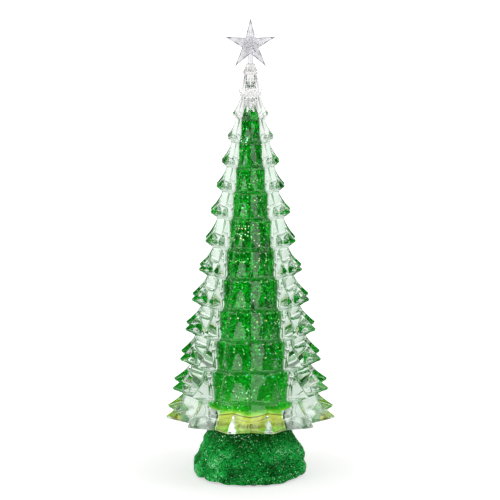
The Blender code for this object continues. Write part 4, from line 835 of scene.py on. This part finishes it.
class LANTERN_OT_tree_body(bpy.types.Operator):
    """Clear tree: fourteen pleated skirts outside, a tapered hollow inside"""

    bl_idname = "lantern.tree_body"
    bl_label = "Tree Body"

    def execute(self, context):
        settings, liquid = context.scene.lantern_tree, context.scene.lantern_liquid
        ridge, valley = tier_profiles(settings)
        skirts = pleated_grid(ridge, valley, settings)
        columns = skirts.shape[1]
        angle = np.arctan2(skirts[0, :, 1], skirts[0, :, 0])
        hole_floor = TREE_HIGH.z - STAR_HOLE_DEPTH
        top = turned(
            (0, STAR_HOLE_RADIUS, STAR_HOLE_RADIUS), (hole_floor, hole_floor, TREE_HIGH.z), angle)
        mouth = PLUG_HIGH.x + GAP
        foot = mouth + FOOT_WIDTH
        shoulder = LIQUID_LOW.z - GAP
        below = turned(
            (foot + FOOT_WIDTH / 2, foot, mouth, mouth, liquid.bottom_radius),
            (PLUG_BOTTOM + FOOT_RISE, PLUG_BOTTOM + GAP, PLUG_BOTTOM + GAP, shoulder, shoulder), angle)
        surface = LIQUID_HIGH.z
        share = np.linspace(1, 0, HOLLOW_ROWS)
        wall = turned(hollow_radius(share, liquid), surface - (surface - shoulder) * share, angle)[1:]
        turn = np.linspace(0, math.pi / 2, DOME_ROWS)[1:]
        dome = turned(
            liquid.top_radius * np.cos(turn), surface + liquid.air_height * np.sin(turn), angle)
        points = np.concatenate([top, skirts, below, wall, dome])
        dry = polished_acrylic(
            "polished_acrylic", settings.tint, settings.edge, settings.crown, settings.crown_edge,
            settings.haze)
        wet = wetted_acrylic(settings.tint)
        piped = light_piped_acrylic(settings.tint, liquid.glow)
        piece = put_mesh("tree_moulding", points, grid_faces(len(points), columns), (dry, wet, piped))
        slot = np.zeros(len(piece.data.polygons), dtype=int)
        wet_start = (len(top) + len(skirts) + len(below) - 1) * columns
        slot[wet_start:wet_start + len(wall) * columns] = 1
        foot_start = (len(top) + len(skirts) - 1) * columns
        slot[foot_start:foot_start + 2 * columns] = 2
        piece.data.polygons.foreach_set("material_index", slot)
        close_surface(piece)
        piece.data.shade_smooth()
        piece.data.set_sharp_from_angle(angle=math.radians(TREE_SHARP))
        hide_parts("tree_body")
        return {"FINISHED"}


class LANTERN_OT_liquid(bpy.types.Operator):
    """Green filling and the glitter flakes that lie against its wall"""

    bl_idname = "lantern.liquid"
    bl_label = "Glitter Liquid"

    def execute(self, context):
        liquid = context.scene.lantern_liquid
        share = np.linspace(0, 1, LIQUID_ROWS)
        low, high = LIQUID_LOW.z, LIQUID_HIGH.z
        radius = hollow_radius(share, liquid) - GAP
        height = high - (high - low) * share
        # Underneath, the liquid leaves a pocket that the stirrer turns in
        pocket = frame_radius("impeller") + STIRRER_PLAY
        pocket_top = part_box("impeller")[1][2] + STIRRER_HEADROOM
        profile_radius = np.concatenate([(0.0, radius[0] * 0.5), radius, (pocket, pocket, 0.0)])
        profile_height = np.concatenate([(high, high), height, (low, pocket_top, pocket_top)])
        points = turned(profile_radius, profile_height, even_angles(LIQUID_COLUMNS))
        faces = grid_faces(len(points), LIQUID_COLUMNS)
        piece = put_mesh("liquid_body", points, faces, (dyed_glitter_water(liquid),))
        close_surface(piece)
        piece.data.shade_smooth()
        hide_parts("glitter_liquid")

        # Flakes lie against the wall, a little closer together where the hollow is narrow
        numbers = np.random.default_rng(11)
        share = numbers.uniform(FLAKE_START, 1, liquid.flakes) ** FLAKE_CROWDING * FLAKE_END
        bearing = numbers.uniform(0, 2 * math.pi, liquid.flakes)
        reach = hollow_radius(share, liquid) - GAP * 0.5
        height = high - (high - low) * share
        outward = np.column_stack([np.cos(bearing), np.sin(bearing), np.zeros(liquid.flakes)])
        centres = outward * reach[:, None] + np.column_stack([np.zeros((liquid.flakes, 2)), height])
        lean = (liquid.bottom_radius - liquid.top_radius) / (high - low)
        tilt = numbers.normal(0, LIQUID_FLAKE_TILT, (liquid.flakes, 3))
        normals = outward + np.array([0, 0, lean]) + tilt
        sizes = liquid.flake_size * numbers.uniform(*LIQUID_FLAKE_SIZES, liquid.flakes)
        # Green tones; the pale, cyan, yellow and white ones at the top are painted glints
        foil = glitter_foil("green_flake_foil", (
            (0.0, "#001800"), (0.4, "#045a0a"), (0.66, "#12a81e"), (0.82, "#4cf054"), (0.92, "#c8ffc0"),
            (0.95, "#46d4e0"), (0.97, "#fff69a"), (1.0, "#ffffff")), glow=0.9, roughness=0.35)
        tones = numbers.uniform(0, 1, liquid.flakes)
        flakes = scatter_flakes("liquid_flakes", centres, normals, sizes, tones, foil)
        return {"FINISHED"}


class LANTERN_OT_star(bpy.types.Operator):
    """Clear faceted star and its round stem"""

    bl_idname = "lantern.star"
    bl_label = "Star"

    def execute(self, context):
        settings, star = context.scene.lantern_tree, context.scene.lantern_star
        clear = polished_acrylic(
            "star_acrylic", star.tint, settings.star_edge, star.tint, settings.star_edge, STAR_HAZE,
            STAR_CLEAR_UNTIL)
        middle = STAR_HIGH.z - star.radius
        corner = np.arange(2 * star.arms + 1)
        reach = np.where(corner % 2 == 0, star.radius, star.notch_radius)
        bearing = corner * math.pi / star.arms
        corner_x, corner_z = reach * np.sin(bearing), reach * np.cos(bearing)
        along = np.arange(0, 2 * star.arms, 1 / STAR_STEPS)
        outline_x, outline_z = np.interp(along, corner, corner_x), np.interp(along, corner, corner_z)
        # Rows from the middle out: a raised hub, then flat facets down to a thin edge
        hub = star.notch_radius * (HUB_SHARE + HUB_SWAY * np.cos(along * math.pi))
        around = along * math.pi / star.arms
        hub_x, hub_z = hub * np.sin(around), hub * np.cos(around)
        share = np.array(STAR_FACET_SHARES)[:, None]
        row_x = np.vstack([0 * hub_x, hub_x * RING_SHARE, hub_x + (outline_x - hub_x) * share])
        row_z = np.vstack([0 * hub_z, hub_z * RING_SHARE, hub_z + (outline_z - hub_z) * share])
        slope = star.depth * FACET_LOW + star.depth * FACET_RISE * (1 - share[:-1, 0])
        depths = np.concatenate([(star.depth, star.depth * RING_DEPTH), slope, (star.edge,)])
        depth = depths[:, None] + 0 * row_x
        # Cut hub: the rings round it rise and fall from one corner to the next
        turns = np.arange(len(along))
        depth[1] += star.depth * RING_SWAYS[0] * np.where(turns % 4 < 2, 1, -1)
        depth[2] += star.depth * RING_SWAYS[1] * np.where(turns % 3 == 1, -1, 0.6)
        depth[3] += star.depth * RING_SWAYS[2] * np.where(turns % 2, 1, -1)
        front = np.stack([row_x, -depth, middle + row_z], axis=-1)
        back = front[::-1] * np.array([1, -1, 1])
        points = np.concatenate([front, back])
        piece = put_mesh("star_facets", points, grid_faces(len(points), len(along)), (clear,))
        close_surface(piece)
        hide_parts("star_topper")

        # Stem: spigot in the tree's hole, then a plain rod up into the star
        rows = (
            (0, STAR_LOW.z), (SPIGOT_RADIUS - SPIGOT_BEVEL, STAR_LOW.z),
            (SPIGOT_RADIUS, STAR_LOW.z + SPIGOT_BEVEL), (SPIGOT_RADIUS, TREE_HIGH.z),
            (star.stem_radius - STEM_BEVEL, TREE_HIGH.z), (star.stem_radius, TREE_HIGH.z + STEM_BEVEL),
            *((star.stem_radius * wide, middle - star.notch_radius * deep)
              for wide, deep in STEM_TOP_ROWS))
        radius, height = np.array(rows).T
        points = turned(radius, height, even_angles(STEM_COLUMNS))
        stem = put_mesh("star_stem", points, grid_faces(len(points), STEM_COLUMNS), (clear,))
        close_surface(stem)
        stem.data.shade_smooth()
        stem.data.set_sharp_from_angle(angle=math.radians(STEM_SHARP))
        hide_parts("star_topper")
        return {"FINISHED"}


class LANTERN_OT_plug(bpy.types.Operator):
    """Lit plug under the liquid, and its seal ring"""

    bl_idname = "lantern.plug"
    bl_label = "Tank Plug"

    def execute(self, context):
        liquid = context.scene.lantern_liquid
        dress(lit_acrylic(liquid), "tank_plug")
        # Nitrile ring with the lamp light all round it painted on, as an olive colour and a glow, so
        # that it shows dark olive and not black
        dress(moulded("lit_nitrile", linear("#8c7a1c"), 0.5, 0.0003, 0.00002, glow=0.4), "plug_o_ring")
        return {"FINISHED"}


class LANTERN_OT_rock(bpy.types.Operator):
    """Rock-shaped glitter shell with loose flakes, open below for the base plate"""

    bl_idname = "lantern.rock"
    bl_label = "Rock Base"

    def execute(self, context):
        settings = context.scene.lantern_rock
        columns = settings.columns
        bearing = even_angles(columns)
        height = np.concatenate([
            np.linspace(SHELL_LOW.z, ROCK_HEIGHTS[-2], ROCK_ROWS), ROCK_HEIGHTS[-1] - NECK_DROPS])
        radius = np.interp(height, ROCK_HEIGHTS, ROCK_RADII)
        radius[-3:] -= NECK_INSETS
        base = from_front(bearing, radius[:, None], height[:, None])
        smooth, relief = rock_relief(base, bearing, settings)
        weight = np.clip((SHELL_HIGH.z - height) / NECK_FADE, 0, 1)[:, None]
        outer = base + from_front(bearing, 1, 0) * (relief * weight)[..., None]
        outer[..., 0] -= ROCK_LEAN * np.clip(1 - height / LEAN_HEIGHT, 0, 1)[:, None]
        # The lower edge rises and falls in waves of 7 and 17 crests all round
        ragged = EDGE_RISE * (1 + np.sin(7 * bearing + 1) * 0.6 + np.sin(17 * bearing) * 0.4)
        outer[..., 2] += ragged * np.clip(1 - height / EDGE_FADE, 0, 1)[:, None]
        hold_radius(outer, high=SHELL_HIGH.x - SIZE_MARGIN)

        # Inside: a smooth wall from the neck down, the ledge that takes the screws, the plate's recess
        plate = frame_radius("base_plate") + GAP
        ledge = plate - LEDGE_WIDTH
        neck = ROCK_RADII[-1] - settings.wall
        inner_rows = np.array((
            (neck, SHELL_HIGH.z), (neck, NECK_INSIDE_END), *ROCK_INNER_WALL, (ledge, LEDGE_TOP),
            (ledge, LEDGE_BOTTOM), (plate, LEDGE_BOTTOM), (plate, RECESS_END),
            (plate + RECESS_FLARE, INNER_EDGE)))
        wall = np.interp(outer[..., 2], inner_rows[::-1, 1], inner_rows[::-1, 0])
        hold_radius(outer, low=wall + THINNEST_WALL)
        inner = from_front(bearing, inner_rows[:, :1], inner_rows[:, 1:])
        inner[-1, :, 2] += ragged * INNER_EDGE_SHARE
        points = np.concatenate([outer, inner])
        faces = grid_faces(len(points), columns)
        # The last row closes on the first
        last = (len(points) - 1) * columns
        ring = np.arange(columns)
        following = (ring + 1) % columns
        faces += np.column_stack([last + ring, ring, following, last + following]).tolist()
        inside = moulded("shell_inside", linear("#0b3d1c"), 0.6, 0.0006, 0.00003)
        piece = put_mesh("rock_shell", points, faces, (glitter_coat(settings), inside))
        # Height of the relief at each outer point: from it the coat paints shade in the clefts and light
        # on the crests
        level = np.full(len(points) * columns, 0.5)
        level[:smooth.size] = np.clip((smooth - smooth.mean()) / RELIEF_SPAN + 0.5, 0, 1).ravel()
        piece.data.attributes.new("rise", "FLOAT", "POINT").data.foreach_set("value", level)
        slot = np.zeros(len(faces), dtype=int)
        slot[len(outer) * columns:-columns] = 1
        piece.data.polygons.foreach_set("material_index", slot)
        close_surface(piece, merge=False)
        piece.data.shade_smooth()
        piece.data.set_sharp_from_angle(angle=math.radians(ROCK_SHARP))
        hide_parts("base_shell")

        # Flakes: random places on the outer grid, stood off by a hair and tilted about the local slope
        numbers = np.random.default_rng(5)
        count = settings.flakes
        row = numbers.choice(np.arange(2, len(height) - 4), count)
        column = numbers.integers(0, columns, count)
        slope_up = outer[row + 1, column] - outer[row - 1, column]
        slope_round = outer[row, (column + 1) % columns] - outer[row, column - 1]
        normals = np.cross(slope_round, slope_up)
        normals /= np.linalg.norm(normals, axis=1, keepdims=True)
        centres = outer[row, column] + normals * FLAKE_STANDOFF
        tilted = normals + numbers.normal(0, ROCK_FLAKE_TILT, (count, 3))
        sizes = settings.flake_size * numbers.uniform(*ROCK_FLAKE_SIZES, count)
        hold_radius(centres, high=SHELL_HIGH.x - FLAKE_MARGIN)
        centres[:, 2] = np.maximum(centres[:, 2], FLAKE_MARGIN)
        # Green tones whose palest ones are painted glints, with a faint painted glow
        foil = glitter_foil("rock_flake_foil", (
            (0.0, "#004a14"), (0.4, "#0c9c38"), (0.7, "#30c85c"), (0.88, "#a0f0b0"), (1.0, "#f0fff2")),
            glow=0.3, roughness=0.3)
        tones = numbers.uniform(0, 1, count)
        flakes = scatter_flakes("rock_flakes", centres, tilted, sizes, tones, foil)
        return {"FINISHED"}


class LANTERN_OT_underside(bpy.types.Operator):
    """Base plate, battery door and box, base screws, feet and the filling stopper"""

    bl_idname = "lantern.underside"
    bl_label = "Underside"

    def execute(self, context):
        grained = moulded("spark_grained_abs", linear("#1d1d1f"), 0.45, 0.0004, 0.00005)
        dress(grained, "base_plate", "battery_door", "battery_box")
        dress(moulded("moulded_rubber", linear("#161616"), 0.75, 0.0005, 0.00004), "foot_1", "foot_2",
              "foot_3", "foot_4", "fill_stopper")
        dress(plated("zinc_plated_steel", linear("#c4c6c8"), 0.28), "base_screw_1", "base_screw_2",
              "base_screw_3")
        return {"FINISHED"}


class LANTERN_OT_power(bpy.types.Operator):
    """Battery cells with their contacts"""

    bl_idname = "lantern.power"
    bl_label = "Battery Parts"

    def execute(self, context):
        dress(plated("lacquered_cell_sleeve", linear("#8a8d92"), 0.3), "battery_cell_1",
              "battery_cell_2", "battery_cell_3")
        dress(plated("nickel_plated_contact", linear("#d8d4c8"), 0.18), "contact_plate_1",
              "contact_plate_2", "contact_plate_3", "contact_spring_1", "contact_spring_2",
              "contact_spring_3")
        return {"FINISHED"}


class LANTERN_OT_drive(bpy.types.Operator):
    """Motor, magnets and stirrer"""

    bl_idname = "lantern.drive"
    bl_label = "Drive Parts"

    def execute(self, context):
        dress(moulded("moulded_nylon", linear("#e8e6df"), 0.4, 0.0006, 0.00003), "impeller",
              "pin_washer", "magnet_carrier", "motor_bracket")
        dress(plated("drawn_steel", linear("#b8babd"), 0.22), "motor_can", "motor_shaft",
              "motor_screw_1", "motor_screw_2", "impeller_pin", "bracket_screw_1", "bracket_screw_2",
              "bracket_screw_3")
        dress(plated("nickel_plated_magnet", linear("#cfccc4"), 0.15), "impeller_magnet_1",
              "impeller_magnet_2", "drive_magnet_1", "drive_magnet_2")
        return {"FINISHED"}


class LANTERN_OT_controls(bpy.types.Operator):
    """Boards, lamps, switch and leads"""

    bl_idname = "lantern.controls"
    bl_label = "Boards and Leads"

    def execute(self, context):
        dress(masked_board("white_solder_mask", linear("#f0efe8"), linear("#d9d6c8")), "led_board")
        dress(masked_board("green_solder_mask", linear("#0b5a2a"), linear("#2f8a4a")), "control_board")
        dress(moulded("chip_epoxy", linear("#1a1a1c"), 0.5, 0.0003, 0.00002), "control_chip")
        dress(moulded("lit_lens_epoxy", linear("#f6f4c8"), 0.1, 0.001, 0.00001, glow=1.0), "led_1",
              "led_2", "led_3", "led_4")
        dress(plated("switch_steel", linear("#b9bbbe"), 0.3), "switch_body")
        dress(moulded("switch_nylon", linear("#e4e2da"), 0.45, 0.0004, 0.00003), "switch_knob")
        for name, colour, leads in (
            ("lead_vinyl_red", "#a81414", ("battery_lead_red", "motor_lead_red")),
            ("lead_vinyl_black", "#141414", ("battery_lead_black", "motor_lead_black")),
            ("lead_vinyl_lead", "#e6e4dc", ("led_lead",)),
        ):
            dress(moulded(name, linear(colour), 0.35, 0.0008, 0.00002), *leads)
        return {"FINISHED"}


def white_paper(settings):
    """Matt seamless paper, seen lifted to white: less so near the lantern, which paints a shadow round
    it, and less through it.
    """
    material = new_material("white_paper", settings.floor)
    shader = add_node(material, "BsdfDiffuse", {"Color": (*settings.floor, 1.0)})
    ray = add_node(material, "LightPath")
    bent = add_node(material, "Math", {
        0: ray.outputs["Is Transmission Ray"], 1: ray.outputs["Is Glossy Ray"]}, operation="MAXIMUM")
    part = add_node(material, "Math", {0: bent, 1: settings.through}, operation="MULTIPLY")
    seen = add_node(material, "Math", {0: part, 1: ray.outputs["Is Camera Ray"]}, operation="MAXIMUM")
    place = add_node(material, "TexCoord").outputs["Object"]
    reach = add_node(material, "VectorMath", {0: place}, operation="LENGTH")
    # Painted shadow: the lift fades towards the lantern
    lift = add_node(material, "MapRange", {
        "Value": reach, "From Min": SHADOW_START, "From Max": SHADOW_END, "To Min": settings.lift,
        "To Max": 1.0})
    shown = add_node(material, "Math", {0: seen, 1: lift}, operation="MULTIPLY")
    glow = add_node(material, "Emission", {"Strength": shown})
    look = add_node(material, "AddShader", {0: shader, 1: glow})
    add_node(material, "OutputMaterial", {"Surface": look})
    return material


def studio_world(settings):
    """White room all round: clear mouldings see its dark ceiling and flags, glossy ones a dim room."""
    world = bpy.data.worlds.new("studio")
    world.use_nodes = True
    world.node_tree.nodes.clear()
    ray = add_node(world, "LightPath")
    # White backdrop all round, and a darker ceiling that the clear mouldings show in their edges
    direction = add_node(world, "TexCoord")
    split = add_node(world, "SeparateXYZ", {"Vector": direction.outputs["Generated"]})
    ceiling = add_node(world, "MapRange", {
        "Value": split.outputs["Z"], "From Min": settings.ceiling_start,
        "From Max": settings.ceiling_end, "To Min": settings.backdrop, "To Max": settings.ceiling})
    overhead = add_node(world, "MapRange", {
        "Value": split.outputs["Z"], "From Min": MIRRORED_START, "From Max": MIRRORED_END,
        "To Min": settings.mirrored, "To Max": settings.mirrored_ceiling})
    sideways = add_node(world, "Math", {0: split.outputs["X"]}, operation="ABSOLUTE")
    flags = add_node(world, "MapRange", {
        "Value": sideways, "From Min": settings.flag_start, "From Max": settings.flag_end,
        "To Min": 1.0, "To Max": settings.flag})
    bent = add_node(world, "Math", {0: ceiling, 1: flags}, operation="MULTIPLY")
    level = settings.ambient
    for kind, strength in (
        ("Is Glossy Ray", overhead), ("Is Transmission Ray", bent), ("Is Camera Ray", 1.0)):
        level = add_node(world, "MapRange", {
            "Value": ray.outputs[kind], "To Min": level, "To Max": strength})
    background = add_node(world, "Background", {"Color": (1.0,) * 4, "Strength": level})
    add_node(world, "OutputWorld", {"Surface": background})
    return world


class LANTERN_OT_stage(bpy.types.Operator):
    """Pale floor, soft lights and the camera"""

    bl_idname = "lantern.stage"
    bl_label = "Stage"

    def execute(self, context):
        settings = context.scene.lantern_stage
        points = turned((FLOOR_RADIUS,), (-FLOOR_DROP,), even_angles(FLOOR_SIDES))
        mesh = bpy.data.meshes.new("floor")
        mesh.from_pydata(points[0].tolist(), [], [list(range(FLOOR_SIDES))])
        floor = bpy.data.objects.new("floor", mesh)
        context.scene.collection.objects.link(floor)
        mesh.materials.append(white_paper(settings))

        context.scene.world = studio_world(settings)

        # The softbox stands upright on the left: its top edge cuts the strips it draws on the pleats
        for name, place, size, radiance, aim in (
            ("softbox", (SOFTBOX_X, SOFTBOX_Y, settings.key_height / 2),
             (settings.key_width, settings.key_height), settings.key,
             Vector((0, 0, settings.key_height / 2))),
            ("fill", FILL_PLACE, FILL_SIZE, settings.key * settings.fill, LANTERN_MIDDLE),
        ):
            lamp = bpy.data.lights.new(name, "AREA")
            lamp.shape = "RECTANGLE"
            lamp.size, lamp.size_y = size
            lamp.energy = radiance * math.pi * size[0] * size[1]
            holder = bpy.data.objects.new(name, lamp)
            holder.location = place
            holder.visible_camera = False
            holder.rotation_euler = (aim - Vector(place)).to_track_quat("-Z", "Y").to_euler()
            context.scene.collection.objects.link(holder)

        camera = bpy.data.cameras.new("camera")
        camera.lens = LENS
        camera.sensor_width = SENSOR_WIDTH
        viewer = bpy.data.objects.new("camera", camera)
        viewer.location = CAMERA_PLACE
        viewer.rotation_euler = (CAMERA_AIM - CAMERA_PLACE).to_track_quat("-Z", "Y").to_euler()
        context.scene.collection.objects.link(viewer)
        context.scene.camera = viewer
        context.scene.view_settings.view_transform = "Standard"
        return {"FINISHED"}


OPERATORS = (
    LANTERN_OT_tree_body, LANTERN_OT_liquid, LANTERN_OT_star, LANTERN_OT_plug, LANTERN_OT_rock,
    LANTERN_OT_underside, LANTERN_OT_power, LANTERN_OT_drive, LANTERN_OT_controls, LANTERN_OT_stage)


class LANTERN_PT_panel(bpy.types.Panel):
    """Buttons for each piece of the lantern"""

    bl_label = "Water Lantern"
    bl_idname = "LANTERN_PT_panel"
    bl_space_type = "VIEW_3D"
    bl_region_type = "UI"
    bl_category = "Lantern"

    def draw(self, context):
        for operator in OPERATORS:
            self.layout.operator(operator.bl_idname)


SETTINGS = {
    "lantern_tree": TreeSettings, "lantern_star": StarSettings, "lantern_liquid": LiquidSettings,
    "lantern_rock": RockSettings, "lantern_stage": StageSettings}


def register():
    for group in SETTINGS.values():
        bpy.utils.register_class(group)
    for name, group in SETTINGS.items():
        setattr(bpy.types.Scene, name, PointerProperty(type=group))
    for operator in (*OPERATORS, LANTERN_PT_panel):
        bpy.utils.register_class(operator)


def unregister():
    for operator in (LANTERN_PT_panel, *reversed(OPERATORS)):
        bpy.utils.unregister_class(operator)
    for name in SETTINGS:
        delattr(bpy.types.Scene, name)
    for group in reversed(SETTINGS.values()):
        bpy.utils.unregister_class(group)


def corners(box):
    return [[float(value) for value in corner] for corner in box]


def main():
    register()
    for operator in OPERATORS:
        group, name = operator.bl_idname.split(".")
        getattr(getattr(bpy.ops, group), name)()


if __name__ == "__main__":
    main()
